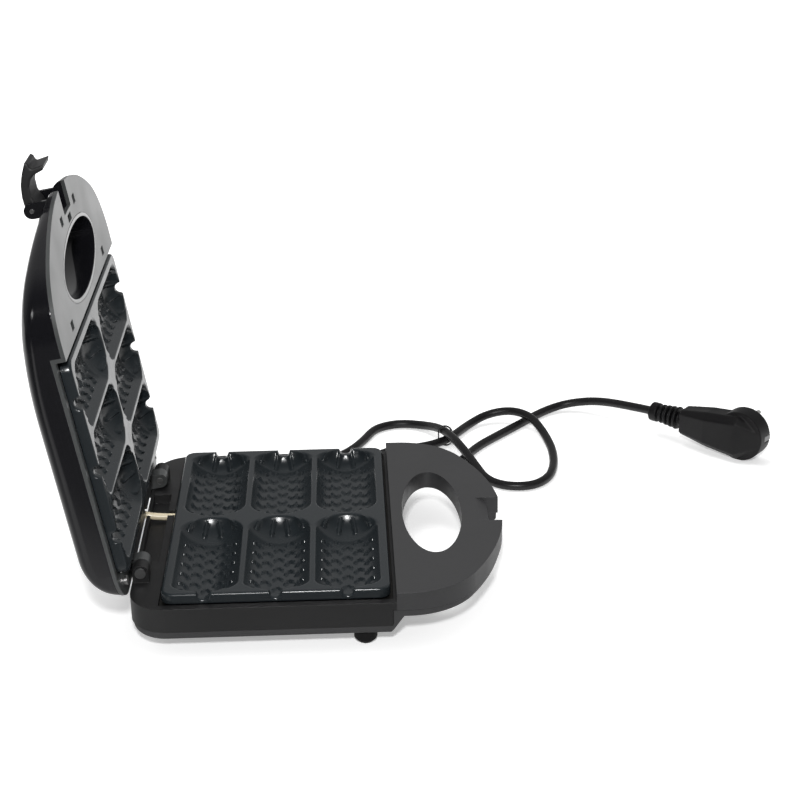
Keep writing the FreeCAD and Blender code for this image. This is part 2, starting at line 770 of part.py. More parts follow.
rectangle(sketch, NOTCH_BLOCK[0], "nose_tip - cover_inset - wall", *NOTCH_BLOCK[2:])
pad(body, sketch, f"{FRONT_RISE} - cover_wall / 2")
for name, spots, low, high in (
    ("rear", REAR_SCREWS, COVER_UNDER, HOUSING_UNDER),
    ("front", FRONT_SCREWS, COVER_HANDLE, HANDLE_UNDER),
):
    sketch = new_sketch(body, f"cover_{name}_boss", offset=f"{low} + cover_wall / 2")
    pad(body, pair(sketch, *spots, "boss_radius + cover_inset"), f"{high} - {low} - cover_wall / 2")
    sketch = new_sketch(body, f"cover_{name}_sink", offset=low)
    pocket(body, pair(sketch, *spots, "screw_head_radius + cover_gap"), HEAD_SEAT, flip=True)
    pocket(body, pair(new_sketch(body, f"cover_{name}_bore", offset=low), *spots, "bore_radius"))
pocket(body, oval(new_sketch(body, "cover_hole"), "hole_centre", *COVER_HOLE))
sketch = new_sketch(body, "cover_notch")
pocket(body, rectangle(sketch, "notch_start", FAR, "-notch_half_width", "notch_half_width"))
sketch = new_sketch(body, "foot_holes", offset=COVER_UNDER)
FEET = (("front_foot_x", "front_foot_y"), ("rear_foot_x", "rear_foot_y"))
for x, y in FEET:
    pair(sketch, x, y, "foot_peg_radius")
pocket(body, sketch, "cover_wall", flip=True)

# Cooking plate: flange, skirt, bowls and bosses, then the ribbed cavities
CAVITY_RADIUS = "((cavity_width / 2) ^ 2 + cavity_depth ^ 2) / (2 * cavity_depth)"
CAVITY_AXIS = f"({CAVITY_RADIUS} - cavity_depth)"
END_SHARE = f"sqrt(1 - ({CAVITY_AXIS} / ({CAVITY_RADIUS})) ^ 2)"


def rounded_rectangle(sketch, half_x, half_y, radius):
    """A rectangle about the origin with round corners."""
    x, y, r = (size(value) for value in (half_x, half_y, radius))
    first = smooth_chain(
        sketch,
        [
            line((r - x, -y), (x - r, -y)),
            arc((x - r, r - y), r, 270, 360),
            line((x, r - y), (x, y - r)),
            arc((x - r, y - r), r, 0, 90),
            line((x - r, y), (r - x, y)),
            arc((r - x, y - r), r, 90, 180),
            line((-x, y - r), (-x, r - y)),
            arc((r - x, r - y), r, 180, 270),
        ],
    )
    for i in (0, 4):
        sketch.addConstraint(Sketcher.Constraint("Horizontal", first + i))
    for i in (2, 6):
        sketch.addConstraint(Sketcher.Constraint("Vertical", first + i))
    for i in (1, 3, 5, 7):
        constrain(sketch, "Radius", first + i, to=radius)
    constrain(sketch, "DistanceY", -1, 1, first, 1, to=f"-({half_y})")
    constrain(sketch, "DistanceY", -1, 1, first + 4, 1, to=half_y)
    constrain(sketch, "DistanceX", -1, 1, first + 2, 1, to=half_x)
    constrain(sketch, "DistanceX", -1, 1, first + 6, 1, to=f"-({half_x})")
    return sketch


def cavity_form(growth, top, steps):
    """A cavity built of flats, grown outward and cut off at a height above the parting.

    The steps are the angles of the rings of flats on its end domes.
    """
    axis = size(CAVITY_AXIS)
    sector = math.radians(size(FLAT_ANGLE))
    leans = [sector * (i - (FLATS + 1) / 2) for i in range(FLATS + 2)]
    around = [Vector(math.sin(lean), 0, -math.cos(lean)) / math.cos(sector / 2) for lean in leans]
    sections = []
    domes = ((CAVITY_NEAR, "-inner_dome", steps[::-1]), (CAVITY_FAR, "outer_dome", steps))
    for y, reach, heights in domes:
        depth = size(reach)
        depth += math.copysign(growth, depth)
        for height in heights:
            turn_up = math.radians(height)
            centre = Vector(0, size(y) + depth * math.sin(turn_up), axis)
            radius = (size(CAVITY_RADIUS) + growth) * math.cos(turn_up)
            sections.append([centre + spoke * radius for spoke in around])
    faces = [flat_face(sections[0]), flat_face(sections[-1])]
    for before, after in zip(sections, sections[1:]):
        for i in range(len(around)):
            k = (i + 1) % len(around)
            faces.append(flat_face([before[i], before[k], after[k], after[i]]))
    width = size("cavity_width") * 2
    length = size("plate_width")
    below = Part.makeBox(2 * width, 2 * length, width, Vector(-width, -length, top - width))
    return Part.Solid(Part.Shell(faces)).common(below)


def flat_face(corners):
    return Part.Face(Part.makePolygon(corners + corners[:1]))


def dome_rib(y, depth, lean):
    """A rib that runs down an end dome, flush with the dome at its ends and tallest between them."""
    across = Vector(math.sin(lean), 0, -math.cos(lean))

    def on_dome(height):
        reach = across * size(CAVITY_RADIUS) * math.cos(height)
        return Vector(0, y + depth * math.sin(height), size(CAVITY_AXIS)) + reach

    start, end = (on_dome(math.radians(height)) for height in RIB_ENDS)
    side = across.cross(Vector(0, 1, 0))
    into_plate = side.cross(end - start).normalize() * math.copysign(size("rib_root"), depth)
    proud = into_plate * (-size("rib_height") / size("rib_root"))
    corners = [start + proud, end + proud, end + into_plate, start + into_plate]
    half = side * (size("rib_width") / 2)
    return flat_face([corner - half for corner in corners]).extrude(half * 2)


def floor_dash(y, lean, slant):
    """A short raised dash on the cavity's round floor."""
    length, width, height = (size(name) for name in ("dash_length", "dash_width", "dash_height"))
    root = size("dash_root")
    dash = Part.makeBox(width, length, root + height, Vector(-width / 2, -length / 2, -root))
    dash.rotate(Vector(), Vector(0, 0, 1), slant)
    dash.translate(Vector(0, y, -size("cavity_depth")))
    dash.rotate(Vector(0, 0, size(CAVITY_AXIS)), Vector(0, 1, 0), lean)
    return dash


def spread(count, step):
    """Evenly spaced values about zero."""
    return [step * (i - (count - 1) / 2) for i in range(count)]


def cavity_core():
    """The shape that one cavity takes out of the plate: a smooth form less its ribs and dashes."""
    near, far = size(CAVITY_NEAR), size(CAVITY_FAR)
    raised = []
    for lean in spread(int(size("rib_count")), size("rib_spread")):
        raised.append(dome_rib(near, -size("inner_dome"), math.radians(lean)))
        raised.append(dome_rib(far, size("outer_dome"), math.radians(lean)))
    middle = (near + far) / 2
    for column, lean in enumerate(spread(int(size("dash_columns")), size(FLAT_ANGLE))):
        rows = int(size("dash_rows")) + column % 2
        slant = size("dash_slant") * (1 if column % 2 else -1)
        for offset in spread(rows, size("dash_pitch")):
            raised.append(floor_dash(middle + offset, lean, slant))
    start = Vector(0, size(f"{CAVITY_FAR} + overrun"), 0)
    radius = size("stick_radius")
    run = size("plate_width / 2 + overrun") - start.y
    groove = Part.makeCylinder(radius, run, start, Vector(0, 1, 0), 360)
    corner = start + Vector(-2 * radius, 0, size("closed_gap"))
    above = Part.makeBox(4 * radius, 2 * run, 2 * radius, corner)
    smooth = cavity_form(0, size("closed_gap"), DOME_STEPS).fuse(groove.cut(above))
    return smooth.cut(Part.makeCompound(raised))


def six_times(shape):
    """Copies of a cavity's shape: three across, in two rows that mirror each other."""
    copies = []
    for column in (-1, 0, 1):
        shift = Vector(column * size("cavity_pitch"), 0, size("parting_height"))
        for row in (shape, shape.mirror(Vector(), Vector(0, 1, 0))):
            copies.append(row.translated(shift))
    return copies


CAVITY_NEAR = f"(cavity_from_middle + inner_dome * {END_SHARE})"
CAVITY_FAR = f"(cavity_from_middle + cavity_length - outer_dome * {END_SHARE})"
FLATS = 7
FLAT_ANGLE = f"(2 / {FLATS} * acos({CAVITY_AXIS} / ({CAVITY_RADIUS})))"
DOME_STEPS = (0, 26, 50, 75)
BOWL_STEPS = (0, 45, 75)
RIB_ENDS = (12, 52)
blank = new_body("plate_blank")
sketch = new_sketch(blank, "plate_flange_outline", offset="parting_height")
rounded_rectangle(sketch, "plate_length / 2", "plate_width / 2", "plate_corner")
pad(blank, sketch, "plate_flange", flip=True)
sketch = new_sketch(blank, "plate_skirt", offset="parting_height - plate_flange / 2")
rounded_rectangle(sketch, "plate_length / 2", "plate_width / 2", "plate_corner")
rounded_rectangle(
    sketch, "plate_length / 2 - plate_wall", "plate_width / 2 - plate_wall", "plate_corner - plate_wall"
)
pad(blank, sketch, "plate_rim - plate_flange / 2", flip=True)
sketch = new_sketch(blank, "plate_bosses", offset="parting_height - plate_flange / 2")
PAN_FLOOR = "(parting_height - pan_floor)"
for x in ("boss_x", "-boss_x"):
    pair(sketch, x, "boss_y", "boss_radius")
    pair(sketch, x, "boss_y", "bore_radius")
pad(blank, sketch, "pan_floor - plate_flange / 2", flip=True)
bowls = doc.addObject("Part::Feature", "plate_bowls")
bowl_forms = six_times(cavity_form(size("plate_wall"), -size("plate_flange / 2"), BOWL_STEPS))
bowls.Shape = bowl_forms[0].multiFuse(bowl_forms[1:]).removeSplitter()
cores = doc.addObject("Part::Feature", "plate_cores")
cores.Shape = Part.makeCompound(six_times(cavity_core()))
casting = doc.addObject("Part::Fuse", "plate_casting")
casting.Base = blank
casting.Tool = bowls
lower_plate = cut("lower_plate", casting, cores)


def turned_plate(label, item):
    """The same casting turned over about the hinge's height and opened with the lid."""
    copy = group(label, [item])
    copy.Placement = Placement(Vector(), Rotation(Vector(0, 1, 0), 180 - size("lid_open")))
    bind(
        copy,
        Placement__Base__x=f"{HINGE_X} * (1 - cos(lid_open)) - {HINGE_Z} * sin(lid_open)",
        Placement__Base__z=f"{HINGE_Z} * (1 + cos(lid_open)) - {HINGE_X} * sin(lid_open)",
        Placement__Rotation__Angle="180 - lid_open",
    )
    doc.recompute()
    return copy


def lid_mirror(label, item):
    """A piece of the base mirrored into the lid about the hinge's height, then opened."""
    reflection = doc.addObject("Part::Mirroring", label + "_reflection")
    reflection.Source = item
    reflection.Normal = Vector(0, 0, 1)
    reflection.Base = Vector(0, 0, size(HINGE_Z))
    bind(reflection, Base__z=HINGE_Z)
    return open_lid(group(label, [reflection]))


upper_plate = turned_plate("upper_plate", lower_plate)

# Reflector pan: a pressed sheet tray with a flange under the rails
body = new_body("lower_reflector")
FLANGE_UNDER = f"({FLOOR_OF_RAIL} - pan_sheet)"
sketch = new_sketch(body, "pan_flange", offset=FLANGE_UNDER)
rectangle(sketch, "-pan_flange_length", "pan_flange_length", "-pan_flange_width", "pan_flange_width")
pad(body, sketch, "pan_sheet")
sketch = new_sketch(body, "pan_block", offset=f"{PAN_FLOOR} - pan_sheet")
rounded_rectangle(sketch, "pan_half_length", "pan_half_width", "plate_corner")
pad(body, sketch, "pan_floor + 0.5 * pan_sheet - rail_drop - wall")
sketch = new_sketch(body, "pan_hollow", offset=FLOOR_OF_RAIL)
rounded_rectangle(
    sketch, "pan_half_length - pan_sheet", "pan_half_width - pan_sheet", "plate_corner - pan_sheet"
)
pocket(body, sketch, "pan_floor - rail_drop - wall")
sketch = new_sketch(body, "pan_sleeve_gap", offset=FLOOR_OF_RAIL)
rectangle(sketch, f"-{FAR}", "pan_end_inset - pan_half_length", *SLEEVE_SIDES)
pocket(body, sketch, "2 * sleeve_radius")
sketch = new_sketch(body, "pan_screw_holes", offset=PAN_FLOOR)
for x in ("boss_x", "-boss_x"):
    pair(sketch, x, "boss_y", "bore_radius")
pocket(body, sketch, "pan_sheet")
sketch = new_sketch(body, "pan_element_holes", "YZ_Plane", "pan_end_inset - pan_half_length")
for y in ("element_tail_y", "-element_tail_y"):
    circle(sketch, y, "parting_height - element_drop", "element_radius + element_gap")
pocket(body, sketch, "2 * pan_end_inset")
lower_reflector = body
upper_reflector = lid_mirror("upper_reflector", lower_reflector)

# Heating element: a tube of eight flats bent round under the cavities, with two tails through the pan
EIGHTHS = [45 * (i + 0.5) for i in range(8)]
body = new_body("lower_element")
spine = new_sketch(body, "element_path", offset="parting_height - element_drop")
back, reach, half, bend, tail, tail_y = (
    size(name)
    for name in (
        "-element_back",
        "element_reach",
        "element_half_width",
        "element_bend",
        "-element_tail",
        "element_tail_y",
    )
)
small = size("element_tail_bend")
path = [
    line((tail, -tail_y), (back - small, -tail_y)),
    arc((back - small, -tail_y - small), small, 0, 90),
    line((back, -tail_y - small), (back, bend - half)),
    arc((back + bend, bend - half), bend, 180, 270),
    line((back + bend, -half), (reach - bend, -half)),
    arc((reach - bend, bend - half), bend, 270, 360),
    line((reach, bend - half), (reach, half - bend)),
    arc((reach - bend, half - bend), bend, 0, 90),
    line((reach - bend, half), (back + bend, half)),
    arc((back + bend, half - bend), bend, 90, 180),
    line((back, half - bend), (back, tail_y + small)),
    arc((back - small, tail_y + small), small, 270, 360),
    line((back - small, tail_y), (tail, tail_y)),
]
for piece in path:
    spine.addGeometry(piece, False)
# The path runs along its two tail bends from their ends to their starts
ENDS = [(2, 1) if i in (1, 11) else (1, 2) for i in range(len(path))]
for i in range(len(path) - 1):
    spine.addConstraint(Sketcher.Constraint("Tangent", i, ENDS[i][1], i + 1, ENDS[i + 1][0]))
for i in (0, 4, 8, 12):
    spine.addConstraint(Sketcher.Constraint("Horizontal", i))
for i in (2, 6, 10):
    spine.addConstraint(Sketcher.Constraint("Vertical", i))
for i in (3, 5, 7, 9):
    constrain(spine, "Radius", i, to="element_bend")
for i in (1, 11):
    constrain(spine, "Radius", i, to="element_tail_bend")
for i, x in ((2, "-element_back"), (6, "element_reach"), (10, "-element_back")):
    constrain(spine, "DistanceX", -1, 1, i, 1, to=x)
for i, y in ((4, "-element_half_width"), (8, "element_half_width")):
    constrain(spine, "DistanceY", -1, 1, i, 1, to=y)
place(spine, 0, 1, "-element_tail", "-element_tail_y")
place(spine, 12, 2, "-element_tail", "element_tail_y")
doc.recompute()
profile = new_sketch(body, "element_section", "YZ_Plane", "-element_tail")
corners = []
for angle in EIGHTHS:
    y = f"element_radius * cos({angle}) - element_tail_y"
    corners.append((y, f"parting_height - element_drop + element_radius * sin({angle})"))
polygon(profile, corners)
doc.recompute()
pipe = body.newObject("PartDesign::AdditivePipe", "element_tube")
pipe.Profile = profile
pipe.Spine = spine
doc.recompute()
lower_element = body
upper_element = lid_mirror("upper_element", lower_element)

# Screws that hold the pans and plates together
screws = []
seat = f"{PAN_FLOOR} - pan_sheet"
for x in ("boss_x", "-boss_x"):
    for y in ("boss_y", "-boss_y"):
        name = f"plate_screw_{len(screws)}"
        screws.append(screw(name, x, y, seat, "pan_screw_length", head="pan_screw_head"))
lower_plate_screws = group("lower_plate_screws", screws)
upper_plate_screws = lid_mirror("upper_plate_screws", lower_plate_screws)


# Electrical parts in the chamber at the hinge end
CHAMBER_FLOOR = f"({COVER_UNDER} + cover_wall)"
CHAMBER_BACK = f"({BASE_END} + 2 * wall)"


def chamber_block(label, y, length, width, height):
    """A block that stands on the chamber's floor at its back wall."""
    block = new_body(label)
    sketch = new_sketch(block, label + "_plan", offset=CHAMBER_FLOOR)
    ends = (CHAMBER_BACK, f"{CHAMBER_BACK} + {length}")
    rectangle(sketch, *ends, f"{y} - {width} / 2", f"{y} + {width} / 2")
    pad(block, sketch, height)
    return block


sizes = ("thermostat_length", "thermostat_width", "thermostat_height")
thermostat = chamber_block("thermostat", "-thermostat_y", *sizes)
sketch = new_sketch(thermostat, "thermostat_stem", "YZ_Plane", f"{CHAMBER_BACK} + thermostat_length")
circle(sketch, "-thermostat_y", f"{CHAMBER_FLOOR} + stem_rise", "stem_radius")
pad(thermostat, sketch, "stem_length")
sizes = ("terminal_length", "terminal_width", "terminal_height")
terminal_block = chamber_block("terminal_block", "terminal_y", *sizes)
sketch = new_sketch(terminal_block, "terminal_holes", "YZ_Plane", f"{CHAMBER_BACK} + terminal_length")
for side in (-1, 0, 1):
    y = f"terminal_y + {side} * terminal_pitch"
    circle(sketch, y, f"{CHAMBER_FLOOR} + terminal_rise", "terminal_bore")
pocket(terminal_block, sketch, "terminal_bore_depth")
thermal_fuse = new_body("thermal_fuse")
sketch = new_sketch(thermal_fuse, "fuse_section", "XZ_Plane", "-fuse_start")
circle(sketch, f"{CHAMBER_BACK} + fuse_inset", f"{CHAMBER_FLOOR} + fuse_radius", "fuse_radius")
pad(thermal_fuse, sketch, "fuse_length", flip=True)

# Hinge pins, each pressed into a post of the base
pins = []
for name, side in (("near", False), ("far", True)):
    pin = new_body(f"hinge_pin_{name}")
    sketch = new_sketch(pin, f"pin_{name}_section", "XZ_Plane", "-knuckle_start" if side else "knuckle_start")
    pad(pin, circle(sketch, HINGE_X, HINGE_Z, "pin_radius"), "2 * knuckle_width + knuckle_gap", flip=side)
    end = "(knuckle_start + 2 * knuckle_width + knuckle_gap)"
    sketch = new_sketch(pin, f"pin_{name}_head", "XZ_Plane", f"-{end}" if side else end)
    pad(pin, circle(sketch, HINGE_X, HINGE_Z, "pin_radius + pin_head"), "pin_head", flip=side)
    pins.append(pin)
hinge_pins = group("hinge_pins", pins)

# Feet with pegs, and the screws of the bottom cover
feet = []
for x, y in FEET:
    for side in ("", "-"):
        foot = new_body(f"foot_{len(feet)}")
        plan = circle(new_sketch(foot, f"foot_{len(feet)}_plan"), x, side + y, "foot_radius")
        block = pad(foot, plan, COVER_UNDER)
        chamfer(foot, block, edges_where(block, lambda b: b.ZMax < 0.01), "foot_chamfer")
        peg = new_sketch(foot, f"peg_{len(feet)}", offset=COVER_UNDER)
        pad(foot, circle(peg, x, side + y, "foot_peg_radius"), "cover_wall")
        feet.append(foot)
feet = group("feet", feet)
screws = []
for (x, y), low, length in (
    (REAR_SCREWS, COVER_UNDER, "rear_screw_length"),
    (FRONT_SCREWS, COVER_HANDLE, "front_screw_length"),
):
    for side in ("", "-"):
        seat = f"{low} + {HEAD_SEAT}"
        screws.append(screw(f"cover_screw_{len(screws)}", x, side + y, seat, length))
cover_screws = group("cover_screws", screws)

# Cord gland: a collar each side of the wall and a tapered, ringed sleeve
GLAND_Z = "(parting_height - gland_drop)"
cord_gland = new_body("cord_gland")
sketch = new_sketch(cord_gland, "gland_profile", "XY_Plane")
polygon(
    sketch,
    [
        ("-wall - gland_back", "0"),
        ("-wall - gland_back", "gland_root_radius"),
        ("-wall", "gland_root_radius"),
        ("-wall", "gland_tip_radius"),
        ("0", "gland_tip_radius"),
        ("0", "gland_root_radius"),
        ("gland_collar", "gland_root_radius"),
        ("gland_length", "gland_tip_radius"),
        ("gland_length", "0"),
    ],
)
turn(cord_gland, sketch)
cord_gland.Placement = Placement(Vector(), Rotation(Vector(0, 0, 1), 180))
bind(cord_gland, Placement__Base__x=BASE_END, Placement__Base__y="gland_y", Placement__Base__z=GLAND_Z)
doc.recompute()

# Mains lead: straight runs joined by arcs, lying on the ground in loops
CORD_STEPS = [
    (-138, 81.5, 20.5), (-156, 91, 12), (-166, 110, 5.5), (-162, 132, 3.6), (-144, 147, 3.6),
    (-119, 152, 3.6), (-90, 151, 3.6), (-58, 149, 3.6), (-26, 152, 3.6), (4, 158, 3.6),
    (31, 169, 3.6), (50, 186, 3.6), (63, 210, 3.6), (72, 232.6, 3.6), (92.7, 242.3, 3.6),
    (114.3, 234.5, 4.5), (125, 215, 10.5), (132, 196.5, 13.6), (141, 170.5, 13), (150.5, 147, 7),
    (157.5, 126.5, 3.6), (173, 113.5, 3.6), (193, 113.5, 3.6), (207, 127, 3.6), (213.5, 147.5, 3.6),
    (216, 171, 3.6), (215.5, 192, 4.2), (210.5, 214.5, 8), (203, 232, 11.9), (187.5, 245, 11.9),
    (167.5, 246, 8), (150.5, 233.5, 3.8), (140, 214.5, 5), (127.5, 198.5, 5), (109.5, 190.5, 4.2),
    (88, 189, 3.6), (68.5, 176, 3.6), (63.5, 151, 3.6), (78, 130, 3.6), (102.5, 124.5, 3.6),
    (124.5, 136.5, 3.6), (138.5, 159.5, 3.6), (154.5, 189, 3.6), (175, 212, 3.6), (195, 233.5, 3.6),
    (214.9, 256.5, 3.6), (233.4, 267.2, 5.5), (250.3, 264.4, 9.5), (265.9, 253.8, 14), (285, 234.2, 18),
]
PLUG_TIP = (304, 214.6, 20.6)
PLUG_TURN = -41.15
GAP_STEP = 1.0


def rounded_route(points):
    """A wire of straight runs with a tangent arc at each corner, and the smallest arc's radius."""
    edges = []
    radii = []
    last = points[0]
    for before, corner, after in zip(points, points[1:], points[2:]):
        inward = (before - corner).normalize()
        outward = (after - corner).normalize()
        trim = 0.45 * min((before - corner).Length, (after - corner).Length)
        half_turn = (math.pi - inward.getAngle(outward)) / 2
        radii.append(trim / math.tan(half_turn))
        start = corner + inward * trim
        end = corner + outward * trim
        bisector = (inward + outward).normalize()
        centre = corner + bisector * (radii[-1] / math.cos(half_turn))
        middle = centre - bisector * radii[-1]
        edges.append(Part.LineSegment(last, start).toShape())
        edges.append(Part.Arc(start, middle, end).toShape())
        last = end
    edges.append(Part.LineSegment(last, points[-1]).toShape())
    return Part.Wire(edges), radii


def least_gap(route, radius):
    """The least gap of a tube to itself, from points along its route that lie well apart on it."""
    points = route.discretize(Distance=GAP_STEP)
    apart = int(4 * radius / GAP_STEP)
    nearest = min(
        point.distanceToPoint(other) for i, point in enumerate(points) for other in points[i + apart :]
    )
    return nearest - 2 * radius


def tube(label, points, radius):
    """A tube of eight flats along a route; its volume is checked against section times length."""
    route, radii = rounded_route(points)
    across = Rotation(Vector(0, 0, 1), points[1] - points[0])
    spokes = [Vector(math.cos(math.radians(angle)), math.sin(math.radians(angle)), 0) for angle in EIGHTHS]
    corners = [points[0] + across.multVec(spoke) * radius for spoke in spokes]
    section = Part.makePolygon(corners + corners[:1])
    solid = route.makePipeShell([section], True, False)
    expected = Part.Face(section).Area * route.Length
    print(label, "length", round(route.Length), "smallest bend", round(min(radii), 1))
    print(label, "least gap to itself", round(least_gap(route, radius), 2))
    if not solid.isValid() or abs(solid.Volume / expected - 1) > 0.01:
        raise RuntimeError(f"{label} is not a clean tube")
    piece = doc.addObject("Part::Feature", label)
    piece.Label = label
    piece.Shape = solid
    return piece


gland_tip = Vector(size(f"{BASE_END} - gland_length"), size("gland_y"), size(GLAND_Z))
route_points = [gland_tip] + [Vector(*step) for step in CORD_STEPS] + [Vector(*PLUG_TIP)]
power_cord = tube("power_cord", route_points, size("cord_radius"))

# Heat-proof sleeve with the leads to the lid's element
sleeve_z = size("parting_height - sleeve_drop")
hinge = Vector(size(HINGE_X), size("sleeve_y"), size(HINGE_Z))
SLEEVE_BEND = 6.5
SLEEVE_STEPS = ((-13, -2.75), (-16, 4.75))
sleeve_points = [Vector(size("-pan_half_length - sleeve_radius"), hinge.y, sleeve_z)]
sleeve_points.append(Vector(hinge.x - SLEEVE_BEND, hinge.y, sleeve_z))
sleeve_points += [hinge + Vector(x, 0, z) for x, z in SLEEVE_STEPS]
wire_sleeve = tube("wire_sleeve", sleeve_points, size("sleeve_radius"))

# Tie round the crossing of two strands of the lead
TIE_CENTRE = (129.9, 202)
TIE_TURN = -16.4
cord_tie = new_body("cord_tie")
sketch = new_sketch(cord_tie, "tie_band", "XZ_Plane")
low, high = size("tie_rise"), size("tie_rise + tie_run")
for radius in ("cord_radius + tie_gap", "cord_radius + tie_gap + tie_sheet"):
    side = size(radius)
    first = smooth_chain(
        sketch,
        [
            line((side, low), (side, high)),
            arc((0, high), side, 0, 180),
            line((-side, high), (-side, low)),
            arc((0, low), side, 180, 360),
        ],
    )
    sketch.addConstraint(Sketcher.Constraint("Vertical", first))
    constrain(sketch, "Radius", first + 1, to=radius)
    place(sketch, first + 1, 3, "0", "tie_rise + tie_run")
    place(sketch, first + 3, 3, "0", "tie_rise")
pad(cord_tie, sketch, "tie_width", middle=True)
cord_tie.Placement = Placement(Vector(*TIE_CENTRE, 0), Rotation(Vector(0, 0, 1), TIE_TURN))

# Angled mains plug, modelled along its own X axis from the lead's end
plug_place = Placement(Vector(*PLUG_TIP), Rotation(Vector(0, 0, 1), PLUG_TURN))
plug_body = new_body("plug_body")
RINGS = 4
RING_GROWTH = 0.5
pitch = f"((plug_relief - plug_collar) / {RINGS + 1})"
profile = [("0", "0"), ("0", "plug_relief_rim")]
profile += [("plug_collar", "plug_relief_rim"), ("plug_collar", "plug_relief_core")]
for ring in range(RINGS):
    rim = f"plug_relief_rim + {RING_GROWTH * ring}"
    front = f"plug_collar + {pitch} * {ring} + {pitch} / 2"
    back = f"plug_collar + {pitch} * {ring + 1}"
    profile += [(front, "plug_relief_core"), (front, rim), (back, rim), (back, "plug_relief_core")]
relief_end = "plug_relief + plug_bevel"
profile += [(relief_end, "plug_relief_core"), (relief_end, "0")]
turn(plug_body, polygon(new_sketch(plug_body, "relief_profile"), profile))
# The hump runs from the relief to the far side of the head: x, back, half height, and bevel
HUMP = [
    ("plug_relief", "plug_neck_back", "plug_neck_half_height", "plug_bevel / 2"),
    ("plug_relief + plug_shoulder", "plug_hump_back", "plug_shoulder_half_height", "plug_bevel"),
    ("plug_length", "plug_hump_back", "plug_hump_half_height", "plug_bevel"),
    ("plug_length + plug_nose", "plug_disc_back", "plug_nose_half_height", "plug_bevel / 2"),
]
sections = []
for i, (x, back, half, bevel) in enumerate(HUMP):
    front = "plug_neck_back" if i == 0 else "plug_head_front"
    outline = []
    for side in ("-", ""):
        ends = [(f"-({back})", f"{side}({half} - {bevel})"), (f"-({back} - {bevel})", f"{side}{half}")]
        ends += [(f"{front} - {bevel}", f"{side}{half}"), (front, f"{side}({half} - {bevel})")]
        outline += ends if side else ends[::-1]
    sections.append(polygon(new_sketch(plug_body, f"plug_section_{i}", "YZ_Plane", x), outline))
hump = plug_body.newObject("PartDesign::AdditiveLoft", "plug_hump")
hump.Profile = sections[0]
hump.Sections = sections[1:]
hump.Ruled = True
doc.recompute()
sketch = new_sketch(plug_body, "plug_head", "XZ_Plane", "-plug_head_front")
pad(plug_body, circle(sketch, "plug_length", "0", "plug_head_radius"), "plug_head_front + plug_disc_back")
PLUG_FACE = "-plug_head_front"
CLIP_IN = "plug_head_radius - clip_depth"
CLIP_OUT = "plug_head_radius - cover_gap"
sketch = new_sketch(plug_body, "clip_slots", "XZ_Plane", PLUG_FACE)
slot_half = "clip_half_height + cover_gap"
for side in (1, -1):
    inner = f"plug_length + {side} * ({CLIP_IN} - cover_gap)"
    outer = f"plug_length + {side} * (plug_head_radius + cover_gap)"
    rectangle(sketch, *(inner, outer)[::side], f"-({slot_half})", slot_half)
pocket(plug_body, sketch, "clip_length + cover_gap", flip=True)
plug_pins = []
for name, height in (("low", "-plug_pin_half_pitch"), ("high", "plug_pin_half_pitch")):
    pin = new_body(f"plug_pin_{name}")
    sketch = new_sketch(pin, f"plug_pin_{name}_section", "XZ_Plane", PLUG_FACE)
    pad(pin, circle(sketch, "plug_length", height, "plug_pin_radius"), "plug_pin_length", flip=True)
    tip = size("plug_head_front + plug_pin_length") - 0.01
    chamfer(pin, pin.Tip, edges_where(pin.Tip, lambda b: b.YMin > tip), "plug_pin_bevel")
    plug_pins.append(pin)
plug_pins = group("plug_pins", plug_pins)
clips = []
for name, side in (("near", -1), ("far", 1)):
    clip = new_body(f"plug_clip_{name}")
    sketch = new_sketch(clip, f"plug_clip_{name}_section", "XZ_Plane", PLUG_FACE)
    ends = [f"plug_length + {side} * ({reach})" for reach in (CLIP_IN, CLIP_OUT)]
    rectangle(sketch, *ends[::side], "-clip_half_height", "clip_half_height")
    pad(clip, sketch, "clip_length")
    clips.append(clip)
plug_earth_clips = group("plug_earth_clips", clips)
for piece in (plug_body, plug_pins, plug_earth_clips):
    piece.Placement = plug_place
doc.recompute()

# Upper frame: the lid's inner face, modelled closed
LID_FACE = "(parting_height + closed_gap)"
LID_RAIL = f"({LID_FACE} + rail_drop)"
LID_RIM = f"({LID_RAIL} + wall)"
upper_frame = new_body("upper_frame")
sketch = d_outline(new_sketch(upper_frame, "frame_walls", offset=LID_FACE), LID_END)
pad(upper_frame, sketch, "rail_drop + wall")
sketch = new_sketch(upper_frame, "frame_rail_step", offset=LID_FACE)
pocket(upper_frame, rectangle(sketch, f"-{FAR}", HANDLE_EDGE, f"-{FAR}", FAR), "rail_drop", flip=True)
sketch = new_sketch(upper_frame, "frame_handle_step", offset=LID_RIM)
pocket(upper_frame, rectangle(sketch, UNDER_EDGE, FAR, f"-{FAR}", FAR), "rail_drop")
sketch = new_sketch(upper_frame, "frame_opening", offset=LID_RIM)
rectangle(sketch, f"-{OPENING_X}", OPENING_X, f"-{OPENING_Y}", OPENING_Y)
pocket(upper_frame, sketch, "wall + overrun")
sketch = new_sketch(upper_frame, "frame_sleeve_gap", offset=LID_RIM)
pocket(upper_frame, rectangle(sketch, f"-{FAR}", f"{HINGE_X} + wall", *SLEEVE_SIDES), "wall + overrun")
COLLAR_ROOM = [f"{half} + cover_gap" for half in COLLAR]
pocket(upper_frame, oval(new_sketch(upper_frame, "frame_hole"), "hole_centre", *COLLAR_ROOM))
sketch = new_sketch(upper_frame, "frame_notch")
rectangle(sketch, "notch_start", FAR, "-lid_notch_half_width", "lid_notch_half_width")
HOLE_EDGE = "(hole_centre + hole_half_width)"
ends = (f"{HOLE_EDGE} + collar_width + slot_gap", "notch_start - wall")
rectangle(sketch, *ends, "-tongue_slot_half", "tongue_slot_half")
SLOTS = (
    ("notch_start", "slot_tip_y"),
    (f"{HANDLE_EDGE} + slot_length", "(half_width - slot_end_inset)"),
)
